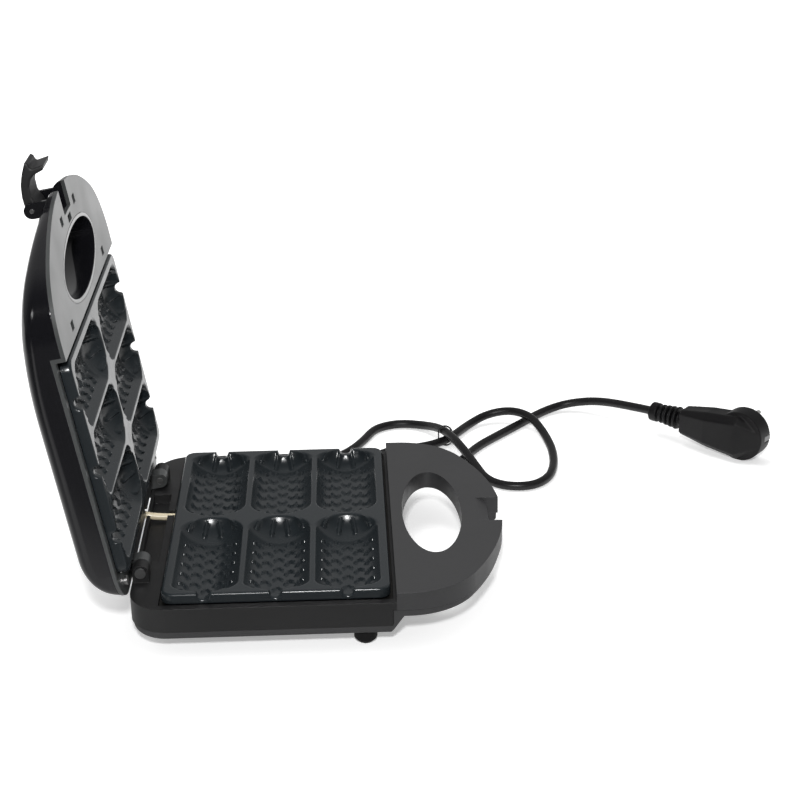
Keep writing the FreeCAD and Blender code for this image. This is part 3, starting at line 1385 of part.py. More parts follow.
for x, y in SLOTS:
    for side in ("", "-"):
        ends = (f"{side}{y} - slot_length / 2", f"{side}{y} + slot_length / 2")
        rectangle(sketch, f"{x} - slot_width / 2", f"{x} + slot_width / 2", *ends)
pocket(upper_frame, sketch)
sketch = pair(new_sketch(upper_frame, "frame_screw_holes", offset=LID_RIM), *REAR_SCREWS, "bore_radius")
pocket(upper_frame, sketch, "wall + overrun")
sketch = new_sketch(upper_frame, "lid_knuckle", "XZ_Plane", "knuckle_start")
knuckle(sketch, HINGE_X, HINGE_Z, f"{LID_RAIL} + overrun", "knuckle_radius", "pin_radius + running_clearance")
mirror(upper_frame, [pad(upper_frame, sketch, "knuckle_width")], "XZ_Plane")
open_lid(upper_frame)


def dome_cut(sketch, drop):
    """The region above the dome's side profile, lowered by a drop."""
    height = f"parting_height + dome_height - {drop}"
    top, back, front = (size(value) for value in (height, "dome_flat_start", "dome_flat_end"))
    rb, rf = size("dome_back_radius"), size("dome_front_radius")
    far, ceiling, behind = (size(value) for value in (CUT_FAR, f"{height} + {CUT_RISE}", CUT_BACK))
    low = top - rf + math.sqrt(rf**2 - (far - front) ** 2)
    reach = math.degrees(math.asin((far - front) / rf))
    pieces = [
        arc((back, top - rb), rb, 90, 180),
        line((back - rb, top - rb), (behind, top - rb)),
        line((behind, top - rb), (behind, ceiling)),
        line((behind, ceiling), (far, ceiling)),
        line((far, ceiling), (far, low)),
        arc((front, top - rf), rf, 90 - reach, 90),
        line((front, top), (back, top)),
    ]
    for piece in pieces:
        sketch.addGeometry(piece, False)
    for i, kind in enumerate(("Coincident",) * 5 + ("Tangent", "Tangent")):
        sketch.addConstraint(Sketcher.Constraint(kind, i, 2, (i + 1) % len(pieces), 1))
    for i in (1, 3, 6):
        sketch.addConstraint(Sketcher.Constraint("Horizontal", i))
    for i in (2, 4):
        sketch.addConstraint(Sketcher.Constraint("Vertical", i))
    place(sketch, 0, 1, "dome_flat_start", height)
    constrain(sketch, "Radius", 0, to="dome_back_radius")
    constrain(sketch, "Radius", 5, to="dome_front_radius")
    constrain(sketch, "DistanceX", -1, 1, 5, 2, to="dome_flat_end")
    constrain(sketch, "DistanceX", -1, 1, 4, 1, to=CUT_FAR)
    constrain(sketch, "DistanceX", -1, 1, 2, 1, to=CUT_BACK)
    constrain(sketch, "DistanceY", -1, 1, 3, 1, to=f"{height} + {CUT_RISE}")
    constrain(sketch, "DistanceY", -1, 1, 0, 2, to=f"{height} - dome_back_radius")
    return sketch


# Upper shell: a gloss dome over the D outline, rounded along its top edge and hollowed
CUT_FAR = "(nose_tip + 10 * overrun)"
CUT_BACK = "(dome_flat_start - dome_back_radius - 20 * overrun)"
CUT_RISE = "(dome_height + 10 * overrun)"
HANDLE_RIM = f"({LID_FACE} + wall)"
dome = new_body("shell_dome")
sketch = d_outline(new_sketch(dome, "shell_walls", offset=HANDLE_RIM), LID_END)
pad(dome, sketch, "dome_height")
profile = pocket(dome, dome_cut(new_sketch(dome, "dome_profile", "XZ_Plane"), "0"))
low = size(f"{HANDLE_RIM} + overrun")
names = edges_where(profile, lambda b: b.ZMax > low and b.XLength > 0.01)
fillet(dome, profile, names, "dome_round")
sketch = new_sketch(dome, "shell_rim_step", offset=HANDLE_RIM)
pocket(dome, rectangle(sketch, f"-{FAR}", UNDER_EDGE, f"-{FAR}", FAR), "rail_drop", flip=True)
sketch = oval(new_sketch(dome, "shell_collar", offset=LID_FACE), "hole_centre", *COLLAR)
pad(dome, sketch, "2 * wall")
sketch = new_sketch(dome, "shell_sleeve_gap", offset=LID_RIM)
rectangle(sketch, f"-{FAR}", f"{HINGE_X} + 2 * sleeve_slot", *SLEEVE_SIDES)
pocket(dome, sketch, "sleeve_slot", flip=True)
LATCH_Z = "(parting_height + latch_rise)"
sketch = new_sketch(dome, "latch_ear", "XZ_Plane", "lid_notch_half_width")
knuckle(sketch, "latch_x", LATCH_Z, f"{LID_RIM} - wall", "ear_radius", "latch_pin_radius")
mirror(dome, [pad(dome, sketch, "ear_width")], "XZ_Plane")
pocket(dome, oval(new_sketch(dome, "shell_hole"), "hole_centre", "hole_half_width", "hole_half_length"))
sketch = new_sketch(dome, "shell_notch")
pocket(dome, rectangle(sketch, "notch_start", FAR, "-lid_notch_half_width", "lid_notch_half_width"))
sketch = new_sketch(dome, "lens_holes", offset="parting_height + dome_height")
pocket(dome, pair(sketch, "lens_x", "lens_y", "lens_radius"), "shell_drop + overrun")
core = new_body("shell_core")
sketch = d_outline(new_sketch(core, "core_walls", offset=f"{HANDLE_RIM} - overrun"), LID_END, "shell_wall")
oval(sketch, "hole_centre", *COLLAR)
pad(core, sketch, "dome_height")
pocket(core, dome_cut(new_sketch(core, "core_profile", "XZ_Plane"), "shell_drop"))
sketch = new_sketch(core, "core_keep_outs")
EAR_OUTSIDE = "(lid_notch_half_width + ear_width)"
rectangle(sketch, "notch_start - wall", FAR, f"-{EAR_OUTSIDE}", EAR_OUTSIDE)
pocket(core, pair(sketch, *REAR_SCREWS, "boss_radius"))
sketch = pair(new_sketch(dome, "frame_threads", offset=LID_RIM), *REAR_SCREWS, "bore_radius")
pocket(dome, sketch, "frame_screw_length - wall + thread_room", flip=True)
upper_shell = open_lid(cut("upper_shell", dome, core))
screws = []
for side in ("", "-"):
    name = f"frame_screw_{len(screws)}"
    spot = ("rear_screw_x", f"{side}rear_screw_y")
    screws.append(screw(name, *spot, LID_RAIL, "frame_screw_length"))
frame_screws = open_lid(group("frame_screws", screws))

# Indicator lamps on the lid's top
SHELL_INSIDE = "(parting_height + dome_height - shell_drop)"
neons = []
for label, side in (("power_lens", "-"), ("ready_lens", "")):
    lens = new_body(label)
    spot = ("lens_x", f"{side}lens_y")
    sketch = new_sketch(lens, label + "_stem", offset=SHELL_INSIDE)
    pad(lens, circle(sketch, *spot, "lens_radius"), "shell_drop")
    sketch = new_sketch(lens, label + "_cap", offset="parting_height + dome_height")
    cap = pad(lens, circle(sketch, *spot, "lens_radius + lens_lip"), "lens_cap")
    top = size("parting_height + dome_height + lens_cap")
    chamfer(lens, cap, edges_where(cap, lambda b: b.ZMin > top - 0.01), "lens_lip")
    open_lid(lens)
    neon = new_body(label.replace("lens", "neon"))
    sketch = new_sketch(neon, label + "_neon_plan", offset=SHELL_INSIDE)
    pad(neon, circle(sketch, *spot, "neon_radius"), "neon_length", flip=True)
    neons.append(neon)
lamp_neons = open_lid(group("lamp_neons", neons))

# Latch: a hook with a thumb tab that swings on a pin between the ears
LATCH_OUTLINE = [
    (0, 4.6), (9, 4.8), (17, 3.6), (24, 1), (31.5, -2.8), (30.2, -4.8), (26.4, -5.6),
    (27.7, -14.4), (24.3, -13.4), (22, -6.4), (19.5, -3.8), (15, -1.8), (8, -1.6), (0, -4.6),
]
latch = new_body("latch")
sketch = new_sketch(latch, "latch_outline", "XZ_Plane")
polygon(sketch, [(f"latch_x + ({x})", f"{LATCH_Z} + ({z})") for x, z in LATCH_OUTLINE])
pad(latch, sketch, "latch_width", middle=True)
sketch = circle(new_sketch(latch, "latch_barrel_section", "XZ_Plane"), "latch_x", LATCH_Z, "latch_barrel")
pad(latch, sketch, "latch_width", middle=True)
sketch = new_sketch(latch, "latch_bore", "XZ_Plane")
pocket(latch, circle(sketch, "latch_x", LATCH_Z, "latch_pin_radius + running_clearance"))
open_lid(latch)
latch_pin = new_body("latch_pin")
sketch = new_sketch(latch_pin, "latch_pin_section", "XZ_Plane")
pad(latch_pin, circle(sketch, "latch_x", LATCH_Z, "latch_pin_radius"), f"2 * {EAR_OUTSIDE}", middle=True)
open_lid(latch_pin)

# Export
PIECES = [
    "lower_housing", "bottom_cover", "lower_plate", "lower_element", "lower_reflector", "lower_plate_screws",
    "thermostat", "thermal_fuse", "terminal_block", "hinge_pins", "feet", "cover_screws", "cord_gland",
    "power_cord", "cord_tie", "plug_body", "plug_pins", "plug_earth_clips", "wire_sleeve", "upper_shell",
    "upper_frame", "upper_plate", "upper_element", "upper_reflector", "upper_plate_screws", "frame_screws",
    "power_lens", "ready_lens", "lamp_neons", "latch_pin", "latch",
]
doc.recompute()
for item in doc.Objects:
    if "Invalid" in item.State or "Error" in item.State:
        raise RuntimeError(f"{item.Name} is {item.State}")
os.makedirs("parts", exist_ok=True)
for label in PIECES:
    shape = doc.getObjectsByLabel(label)[0].Shape
    if shape.isNull() or not shape.isValid():
        raise RuntimeError(f"{label} has no valid shape")
    shape.exportStep(f"parts/{label}.step")
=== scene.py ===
"""Looks of a clamshell maker for waffles on a stick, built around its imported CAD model."""

import json
import math

import bpy
import numpy as np
from mathutils import Matrix, Vector


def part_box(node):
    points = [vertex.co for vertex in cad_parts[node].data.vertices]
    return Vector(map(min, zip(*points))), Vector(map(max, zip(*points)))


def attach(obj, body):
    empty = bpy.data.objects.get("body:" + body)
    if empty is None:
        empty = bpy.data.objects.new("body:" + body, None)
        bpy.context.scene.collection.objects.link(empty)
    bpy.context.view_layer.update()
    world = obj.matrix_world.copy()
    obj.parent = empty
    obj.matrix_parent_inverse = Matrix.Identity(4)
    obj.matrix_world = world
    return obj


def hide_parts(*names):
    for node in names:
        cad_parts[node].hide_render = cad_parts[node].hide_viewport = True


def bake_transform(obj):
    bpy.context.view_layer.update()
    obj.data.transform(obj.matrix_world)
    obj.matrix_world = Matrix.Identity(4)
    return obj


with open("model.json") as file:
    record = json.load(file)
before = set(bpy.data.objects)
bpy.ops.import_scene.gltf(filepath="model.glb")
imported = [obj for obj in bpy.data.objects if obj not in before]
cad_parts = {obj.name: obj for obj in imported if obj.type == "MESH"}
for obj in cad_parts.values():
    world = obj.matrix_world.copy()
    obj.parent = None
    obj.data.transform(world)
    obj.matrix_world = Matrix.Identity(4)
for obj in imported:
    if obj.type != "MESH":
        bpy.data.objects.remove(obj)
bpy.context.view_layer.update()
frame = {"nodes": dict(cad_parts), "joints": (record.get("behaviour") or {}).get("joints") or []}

bl_info = {
    "name": "Waffle Stick Maker",
    "version": (1, 0, 0),
    "blender": (4, 5, 0),
    "location": "View3D > Sidebar > Maker",
    "description": "Dresses a six-cavity waffle stick maker with its finishes, lead and stage",
    "category": "Object",
}

MM = 0.001
JOINTS = {joint["name"]: joint for joint in frame["joints"]}
HINGE = Vector(JOINTS["lid_hinge"]["pos_m"])
LID_OPEN = math.radians(JOINTS["lid_hinge"]["range_deg"][1])
PLATE_LOW, PLATE_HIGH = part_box("lower_plate")


class PlateSizes(bpy.types.PropertyGroup):
    """Sizes of the two cooking plates."""

    grid: bpy.props.FloatProperty(
        name="Grid", description="Spacing of the plate's surface mesh", default=0.75 * MM, unit="LENGTH"
    )
    cavity_width: bpy.props.FloatProperty(
        name="Cavity width",
        description="Width of a cavity at the parting plane",
        default=44 * MM,
        unit="LENGTH",
    )
    cavity_length: bpy.props.FloatProperty(
        name="Cavity length",
        description="Length of a cavity at the parting plane",
        default=106 * MM,
        unit="LENGTH",
    )
    cavity_depth: bpy.props.FloatProperty(
        name="Cavity depth", description="Depth of a cavity's floor", default=13 * MM, unit="LENGTH"
    )
    cavity_pitch: bpy.props.FloatProperty(
        name="Cavity pitch",
        description="Distance between neighbouring cavities",
        default=47.2 * MM,
        unit="LENGTH",
    )
    middle_gap: bpy.props.FloatProperty(
        name="Middle gap",
        description="From the plate's middle to a cavity's end",
        default=1.6 * MM,
        unit="LENGTH",
    )
    inner_dome: bpy.props.FloatProperty(
        name="Inner dome",
        description="Reach of the dome at a cavity's inner end",
        default=22 * MM,
        unit="LENGTH",
    )
    outer_dome: bpy.props.FloatProperty(
        name="Outer dome",
        description="Reach of the dome at a cavity's outer end",
        default=15 * MM,
        unit="LENGTH",
    )
    stick_radius: bpy.props.FloatProperty(
        name="Stick groove", description="Radius of the groove for the stick", default=4.5 * MM, unit="LENGTH"
    )
    skirt: bpy.props.FloatProperty(
        name="Skirt", description="Height of the plate's outer edge", default=7 * MM, unit="LENGTH"
    )
    corner: bpy.props.FloatProperty(
        name="Corner", description="Radius of the plate's corners", default=8 * MM, unit="LENGTH"
    )
    edge_round: bpy.props.FloatProperty(
        name="Edge round", description="Radius of the plate's top edge", default=1.5 * MM, unit="LENGTH"
    )
    rim_round: bpy.props.FloatProperty(
        name="Rim round", description="Softness of the cavities' rims", default=1.2 * MM, unit="LENGTH"
    )
    wall: bpy.props.FloatProperty(
        name="Wall", description="Thickness of the casting", default=2.5 * MM, unit="LENGTH"
    )
    rib_count: bpy.props.IntProperty(name="Ribs", description="Ribs on each dome", default=4)
    rib_spread: bpy.props.FloatProperty(
        name="Rib spread", description="Angle between ribs", default=math.radians(29), unit="ROTATION"
    )
    rib_height: bpy.props.FloatProperty(
        name="Rib height", description="Height of a rib", default=1.8 * MM, unit="LENGTH"
    )
    dash_columns: bpy.props.IntProperty(name="Dash columns", description="Columns of dashes", default=5)
    dash_rows: bpy.props.IntProperty(
        name="Dash rows",
        description="Rows in every other column of dashes, one fewer than between",
        default=5,
    )
    dash_spread: bpy.props.FloatProperty(
        name="Dash spread",
        description="Angle between columns of dashes",
        default=math.radians(18),
        unit="ROTATION",
    )
    dash_offset: bpy.props.FloatProperty(
        name="Dash offset",
        description="From a column's line to a dash's middle",
        default=1.9 * MM,
        unit="LENGTH",
    )
    dash_pitch: bpy.props.FloatProperty(
        name="Dash pitch", description="Distance between rows of dashes", default=13.5 * MM, unit="LENGTH"
    )
    dash_length: bpy.props.FloatProperty(
        name="Dash length", description="Length of a dash", default=5.4 * MM, unit="LENGTH"
    )
    dash_width: bpy.props.FloatProperty(
        name="Dash width", description="Width of a dash", default=2.2 * MM, unit="LENGTH"
    )
    dash_height: bpy.props.FloatProperty(
        name="Dash height", description="Height of a dash", default=1.4 * MM, unit="LENGTH"
    )
    dash_slant: bpy.props.FloatProperty(
        name="Dash slant",
        description="Angle of a dash to its column",
        default=math.radians(32),
        unit="ROTATION",
    )


class LeadSizes(bpy.types.PropertyGroup):
    """Sizes of the mains lead and the heat-proof sleeve."""

    diameter: bpy.props.FloatProperty(
        name="Lead diameter", description="Outside diameter of the lead", default=7 * MM, unit="LENGTH"
    )
    length: bpy.props.FloatProperty(
        name="Lead length", description="Length from the gland to the plug", default=1.2, unit="LENGTH"
    )
    sleeve: bpy.props.FloatProperty(
        name="Sleeve diameter", description="Outside diameter of the sleeve", default=5.2 * MM, unit="LENGTH"
    )


def colour_property(name, description, default):
    """A colour that a user would change."""
    return bpy.props.FloatVectorProperty(
        name=name, description=description, default=default, subtype="COLOR", size=3, min=0, max=1
    )


class FinishColours(bpy.types.PropertyGroup):
    """Colours of the finishes."""

    housing: colour_property("Housing", "Matte housing and bottom cover", (0.025, 0.025, 0.026))
    latch: colour_property("Latch", "Dark moulded latch", (0.009, 0.009, 0.0095))
    frame: colour_property("Lid frame", "Satin inner face of the lid", (0.036, 0.038, 0.038))
    shell: colour_property("Shell", "Polished lid", (0.004, 0.004, 0.005))
    plate: colour_property("Plate", "Non-stick coat", (0.012, 0.015, 0.017))
    rubber: colour_property("Rubber", "Lead, plug, gland, tie and feet", (0.004, 0.0038, 0.0042))
    steel: colour_property("Steel", "Screws", (0.56, 0.56, 0.55))
    dull_steel: colour_property("Dull steel", "Hinge and latch pins, plug clips", (0.16, 0.16, 0.16))
    nickel: colour_property("Nickel", "Plug pins", (0.7, 0.69, 0.66))
    # Dark so that the reflectors seen through the gap beside the handle give painted shade there
    sheet: colour_property("Heated sheet", "Reflector pans and thermal fuse", (0.05, 0.048, 0.045))
    element: colour_property("Element", "Heating element's tube", (0.22, 0.21, 0.2))
    moulding: colour_property("Moulding", "Electrical parts", (0.32, 0.28, 0.2))
    red: colour_property("Red", "Power lamp's lens", (0.35, 0.008, 0.01))
    green: colour_property("Green", "Ready lamp's lens", (0.02, 0.24, 0.04))
    neon: colour_property("Neon", "Glass of the lamps", (0.7, 0.6, 0.5))
    sleeve: colour_property("Sleeve", "Glass fibre sleeve", (0.74, 0.65, 0.46))


class MouldingSizes(bpy.types.PropertyGroup):
    """How far the edges of small mouldings are rounded."""

    voxel: bpy.props.FloatProperty(
        name="Grid", description="Spacing of the mouldings' mesh", default=0.7 * MM, unit="LENGTH"
    )
    passes: bpy.props.IntProperty(name="Passes", description="Rounds of smoothing", default=6)


class StageSettings(bpy.types.PropertyGroup):
    """Camera, lamps and floor."""

    focal: bpy.props.FloatProperty(
        name="Focal length",
        description="Camera lens, for a 36 mm sensor",
        default=77.197,
        subtype="DISTANCE_CAMERA",
    )
    key: bpy.props.FloatProperty(
        name="Key", description="Power of the large lamp above", default=11, unit="POWER"
    )
    flash: bpy.props.FloatProperty(
        name="Flash", description="Power of the small lamp above the camera", default=12, unit="POWER"
    )
    window: bpy.props.FloatProperty(
        name="Window", description="Power of the lamp that the lid mirrors", default=0.7, unit="POWER"
    )
    sky: bpy.props.FloatProperty(name="Sky", description="Strength of the room's light", default=0.8)
    mirror: bpy.props.FloatProperty(
        name="Mirror",
        description="Strength of that light in reflections",
        default=0.4,
    )
    front: bpy.props.FloatProperty(name="Front", description="Share of that light in front", default=0.1)
    lift: bpy.props.FloatProperty(
        name="Lift",
        description="Light added to the floor for the eye",
        default=0.36,
    )


def settings(name):
    """One of the scene's groups of settings."""
    return getattr(bpy.context.scene, name)


def new_piece(name, mesh, material, body):
    """An object made of a mesh, with a finish, that moves with a CAD body where one is named."""
    piece = bpy.data.objects.new(name, mesh)
    bpy.context.scene.collection.objects.link(piece)
    piece.data.materials.append(material)
    if body:
        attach(piece, body)
    return piece


# Shader groups

GRAIN_DETAIL, CLOUD_DETAIL = 3, 4
# Cosine of the turn between a face and its rounded edge, where wear starts and where it is full
WEAR_START, WEAR_FULL = 0.97, 0.75
# Part of the cloud noise's range over which the gloss changes
CLOUD_LOW, CLOUD_HIGH = 0.3, 0.7
BUMP_STRENGTH = 0.35
# Where the handle starts along X, and how wide the edge of the body's painted shade is there
HANDLE_SEAM = PLATE_HIGH.x + 3.5 * MM
BODY_SHADE_EDGE = 0.2 * MM


def socket_kind(value):
    """The kind of socket that a default needs; none stands for a direction."""
    if value is None:
        return "NodeSocketVector"
    return "NodeSocketColor" if isinstance(value, tuple) else "NodeSocketFloat"


def shader_group(name, inputs, outputs):
    """An empty node group with named inputs, their defaults and named outputs."""
    group = bpy.data.node_groups.new(name, "ShaderNodeTree")
    for label, value in inputs.items():
        socket = group.interface.new_socket(label, in_out="INPUT", socket_type=socket_kind(value))
        socket.default_value = (*value, 1) if isinstance(value, tuple) else value
    for label, value in outputs.items():
        group.interface.new_socket(label, in_out="OUTPUT", socket_type=socket_kind(value))
    return group, group.nodes.new("NodeGroupInput"), group.nodes.new("NodeGroupOutput")


def moulded_skin():
    """Fine grain, a broad cloudy change of colour and gloss, and edges rounded and rubbed a little paler."""
    name = "moulded skin"
    if name in bpy.data.node_groups:
        return bpy.data.node_groups[name]
    group, start, end = shader_group(
        name,
        {
            "Colour": (0.05, 0.05, 0.05),
            "Cloud Colour": (0.06, 0.06, 0.06),
            "Worn Colour": (0.1, 0.1, 0.1),
            "Grain Scale": 1500.0,
            "Cloud Scale": 30.0,
            "Smooth": 0.3,
            "Rough": 0.5,
            "Edge": 0.6 * MM,
        },
        {"Colour": (0, 0, 0), "Roughness": 0.5, "Height": 0.0, "Normal": None},
    )
    nodes, links = group.nodes, group.links
    place = nodes.new("ShaderNodeTexCoord")
    grain = nodes.new("ShaderNodeTexNoise")
    grain.inputs["Detail"].default_value = GRAIN_DETAIL
    cloud = nodes.new("ShaderNodeTexNoise")
    cloud.inputs["Detail"].default_value = CLOUD_DETAIL
    for texture, scale in ((grain, "Grain Scale"), (cloud, "Cloud Scale")):
        links.new(place.outputs["Object"], texture.inputs["Vector"])
        links.new(start.outputs[scale], texture.inputs["Scale"])
    edge = nodes.new("ShaderNodeBevel")
    links.new(start.outputs["Edge"], edge.inputs["Radius"])
    flat = nodes.new("ShaderNodeNewGeometry")
    turn = nodes.new("ShaderNodeVectorMath")
    turn.operation = "DOT_PRODUCT"
    links.new(edge.outputs["Normal"], turn.inputs[0])
    links.new(flat.outputs["Normal"], turn.inputs[1])
    worn = nodes.new("ShaderNodeMapRange")
    worn.inputs["From Min"].default_value = WEAR_START
    worn.inputs["From Max"].default_value = WEAR_FULL
    links.new(turn.outputs["Value"], worn.inputs["Value"])
    blend = nodes.new("ShaderNodeMix")
    blend.data_type = "RGBA"
    links.new(cloud.outputs["Fac"], blend.inputs["Factor"])
    links.new(start.outputs["Colour"], blend.inputs["A"])
    links.new(start.outputs["Cloud Colour"], blend.inputs["B"])
    rubbed = nodes.new("ShaderNodeMix")
    rubbed.data_type = "RGBA"
    links.new(worn.outputs["Result"], rubbed.inputs["Factor"])
    links.new(blend.outputs["Result"], rubbed.inputs["A"])
    links.new(start.outputs["Worn Colour"], rubbed.inputs["B"])
    gloss = nodes.new("ShaderNodeMapRange")
    gloss.inputs["From Min"].default_value = CLOUD_LOW
    gloss.inputs["From Max"].default_value = CLOUD_HIGH
    links.new(cloud.outputs["Fac"], gloss.inputs["Value"])
    links.new(start.outputs["Smooth"], gloss.inputs["To Min"])
    links.new(start.outputs["Rough"], gloss.inputs["To Max"])
    links.new(rubbed.outputs["Result"], end.inputs["Colour"])
    links.new(gloss.outputs["Result"], end.inputs["Roughness"])
    links.new(grain.outputs["Fac"], end.inputs["Height"])
    links.new(edge.outputs["Normal"], end.inputs["Normal"])
    return group


def lighter(colour, share):
    """A colour with its channels multiplied."""
    return tuple(min(1, channel * share) for channel in colour)


def paint_body_shade(made, share):
    """Paint shade on the body's side of the handle's seam, keeping only a share of a material's colour there.
    """
    nodes, links = made.node_tree.nodes, made.node_tree.links
    shader = nodes["Principled BSDF"]
    skin = shader.inputs["Base Color"].links[0].from_socket
    place = nodes.new("ShaderNodeTexCoord")
    parts = nodes.new("ShaderNodeSeparateXYZ")
    links.new(place.outputs["Object"], parts.inputs["Vector"])
    # Painted shade: the colour is scaled down to the share on the body's side of the seam
    body_shade = nodes.new("ShaderNodeMapRange")
    body_shade.inputs["From Min"].default_value = HANDLE_SEAM
    body_shade.inputs["From Max"].default_value = HANDLE_SEAM + BODY_SHADE_EDGE
    body_shade.inputs["To Min"].default_value = share
    links.new(parts.outputs["X"], body_shade.inputs["Value"])
    shaded_skin = nodes.new("ShaderNodeVectorMath")
    shaded_skin.operation = "SCALE"
    links.new(skin, shaded_skin.inputs["Vector"])
    links.new(body_shade.outputs["Result"], shaded_skin.inputs["Scale"])
    links.new(shaded_skin.outputs["Vector"], shader.inputs["Base Color"])


def skin_material(
    name,
    colour,
    cloud=1.35,
    worn=2.0,
    grain=1500,
    broad=30,
    gloss=(0.3, 0.5),
    depth=0.03,
    edge=0.5,
    body=1,
    **sockets,
):
    """A material of moulded skin.

    cloud and worn multiply the colour in the clouds and on worn edges. grain and broad are the scales of
    the grain and the clouds, and gloss is the least and the greatest roughness. depth and edge are the
    grain's height and the edges' radius in millimetres. body is the share of the colour that the body
    keeps beside the handle, a painted shade on the body's wall. Other sockets of the shader are set by
    name, with _ for a space.
    """
    made = bpy.data.materials.new(name)
    made.use_nodes = True
    nodes, links = made.node_tree.nodes, made.node_tree.links
    shader = nodes["Principled BSDF"]
    skin = nodes.new("ShaderNodeGroup")
    skin.node_tree = moulded_skin()
    skin.inputs["Colour"].default_value = (*colour, 1)
    skin.inputs["Cloud Colour"].default_value = (*lighter(colour, cloud), 1)
    skin.inputs["Worn Colour"].default_value = (*lighter(colour, worn), 1)
    skin.inputs["Grain Scale"].default_value = grain
    skin.inputs["Cloud Scale"].default_value = broad
    skin.inputs["Smooth"].default_value = gloss[0]
    skin.inputs["Rough"].default_value = gloss[1]
    skin.inputs["Edge"].default_value = edge * MM
    bump = nodes.new("ShaderNodeBump")
    bump.inputs["Strength"].default_value = BUMP_STRENGTH
    bump.inputs["Distance"].default_value = depth * MM
    links.new(skin.outputs["Colour"], shader.inputs["Base Color"])
    links.new(skin.outputs["Roughness"], shader.inputs["Roughness"])
    links.new(skin.outputs["Height"], bump.inputs["Height"])
    links.new(skin.outputs["Normal"], bump.inputs["Normal"])
    links.new(bump.outputs["Normal"], shader.inputs["Normal"])
    # A body below one paints shade on the body's side of the handle's seam
    if body < 1:
        paint_body_shade(made, body)
    for socket, value in sockets.items():
        shader.inputs[socket.replace("_", " ")].default_value = value
    return made


# Cooking plates

# The underside's mesh has one point for so many of the top's
UNDER_STEP = 4
# Where there is no cavity, the underside lies this far and the wall's thickness below the flange
UNDER_DROP = 0.5 * MM
# A height above the plate, where there is no cavity
NO_CAVITY = 1
# Limit on how steep a wall counts, so that a rib or dash on it doesn't grow too tall
LEAST_UPRIGHT = 0.35
# How steeply a dash's sides rise
DASH_STEEPNESS = 1.6
# Ribs: their middle as a share of the dome, their stretch down the curve, half length and half width
RIB_MIDDLE = 0.56
RIB_STRETCH = 1.4
RIB_HALF = 7 * MM
RIB_SIDE = 1.6 * MM
SHARP_ANGLE = math.radians(50)
TINY = 1e-9


def soft_floor(a, b, width):
    """The lower of two heights, rounded where they meet."""
    mix = np.clip(0.5 + 0.5 * (b - a) / width, 0, 1)
    return b * (1 - mix) + a * mix - width * mix * (1 - mix)


def capsule(along, across, half_length, half_width):
    """One on the middle line of a bar with round ends, falling to nought at its edge."""
    past_end = np.clip(np.abs(along) - (half_length - half_width), 0, None)
    return np.clip(1 - (np.hypot(past_end, across) / half_width) ** 2, 0, 1)


def dome_ribs(lean, around, past, dome, sizes):
    """Height of the ribs that run down a cavity's end domes."""
    rise = np.zeros_like(lean)
    for rib in range(sizes.rib_count):
        angle = (rib - (sizes.rib_count - 1) / 2) * sizes.rib_spread
        bar = capsule((past - RIB_MIDDLE) * dome * RIB_STRETCH, (lean - angle) * around, RIB_HALF, RIB_SIDE)
        rise = np.maximum(rise, sizes.rib_height * np.sqrt(bar))
    return rise


def floor_dashes(lean, y, middle, radius, sizes):
    """Height of the dashes on a cavity's floor: columns of small Vs, every other one half a pitch on."""
    rise = np.zeros_like(lean)
    for column in range(sizes.dash_columns):
        angle = (column - (sizes.dash_columns - 1) / 2) * sizes.dash_spread
        rows = sizes.dash_rows + column % 2
        first = -(rows - 1) / 2
        row = np.clip(np.round((y - middle) / sizes.dash_pitch - first), 0, rows - 1) + first
        along = y - middle - row * sizes.dash_pitch
        for side in (-1, 1):
            turn = side * sizes.dash_slant
            across = (lean - angle) * radius - side * sizes.dash_offset
            lengthwise = along * math.cos(turn) + across * math.sin(turn)
            sideways = across * math.cos(turn) - along * math.sin(turn)
            bar = capsule(lengthwise, sideways, sizes.dash_length / 2, sizes.dash_width / 2)
            rise = np.maximum(rise, sizes.dash_height * np.clip(DASH_STEEPNESS * bar, 0, 1))
    return rise


def cavity_height(x, y, sizes):
    """Height of one cavity's surface, where y runs outward from the plate's middle."""
    half = sizes.cavity_width / 2
    radius = (half**2 + sizes.cavity_depth**2) / (2 * sizes.cavity_depth)
    axis = radius - sizes.cavity_depth
    share = math.sqrt(1 - (axis / radius) ** 2)
    near = sizes.middle_gap + sizes.inner_dome * share
    far = sizes.middle_gap + sizes.cavity_length - sizes.outer_dome * share
    dome = np.where(y < near, sizes.inner_dome, sizes.outer_dome)
    past = np.clip(np.maximum(near - y, y - far), 0, None) / dome
    around = radius * np.sqrt(np.clip(1 - past**2, 0, 1))
    inside = np.sqrt(np.clip(around**2 - x**2, 0, None))
    floor = axis - inside
    upright = np.maximum(inside / radius, LEAST_UPRIGHT)
    lean = np.arctan2(x, inside)
    ribs = np.where(past > 0, dome_ribs(lean, around, past, dome, sizes), 0)
    rise = np.maximum(ribs, floor_dashes(lean, y, (near + far) / 2, radius, sizes))
    cavity = np.where(inside > 0, floor + rise / upright, NO_CAVITY)
    stick = -np.sqrt(np.clip(sizes.stick_radius**2 - x**2, 0, None))
    groove = np.where((np.abs(x) < sizes.stick_radius) & (y > far), stick, NO_CAVITY)
    return np.minimum(cavity, groove)


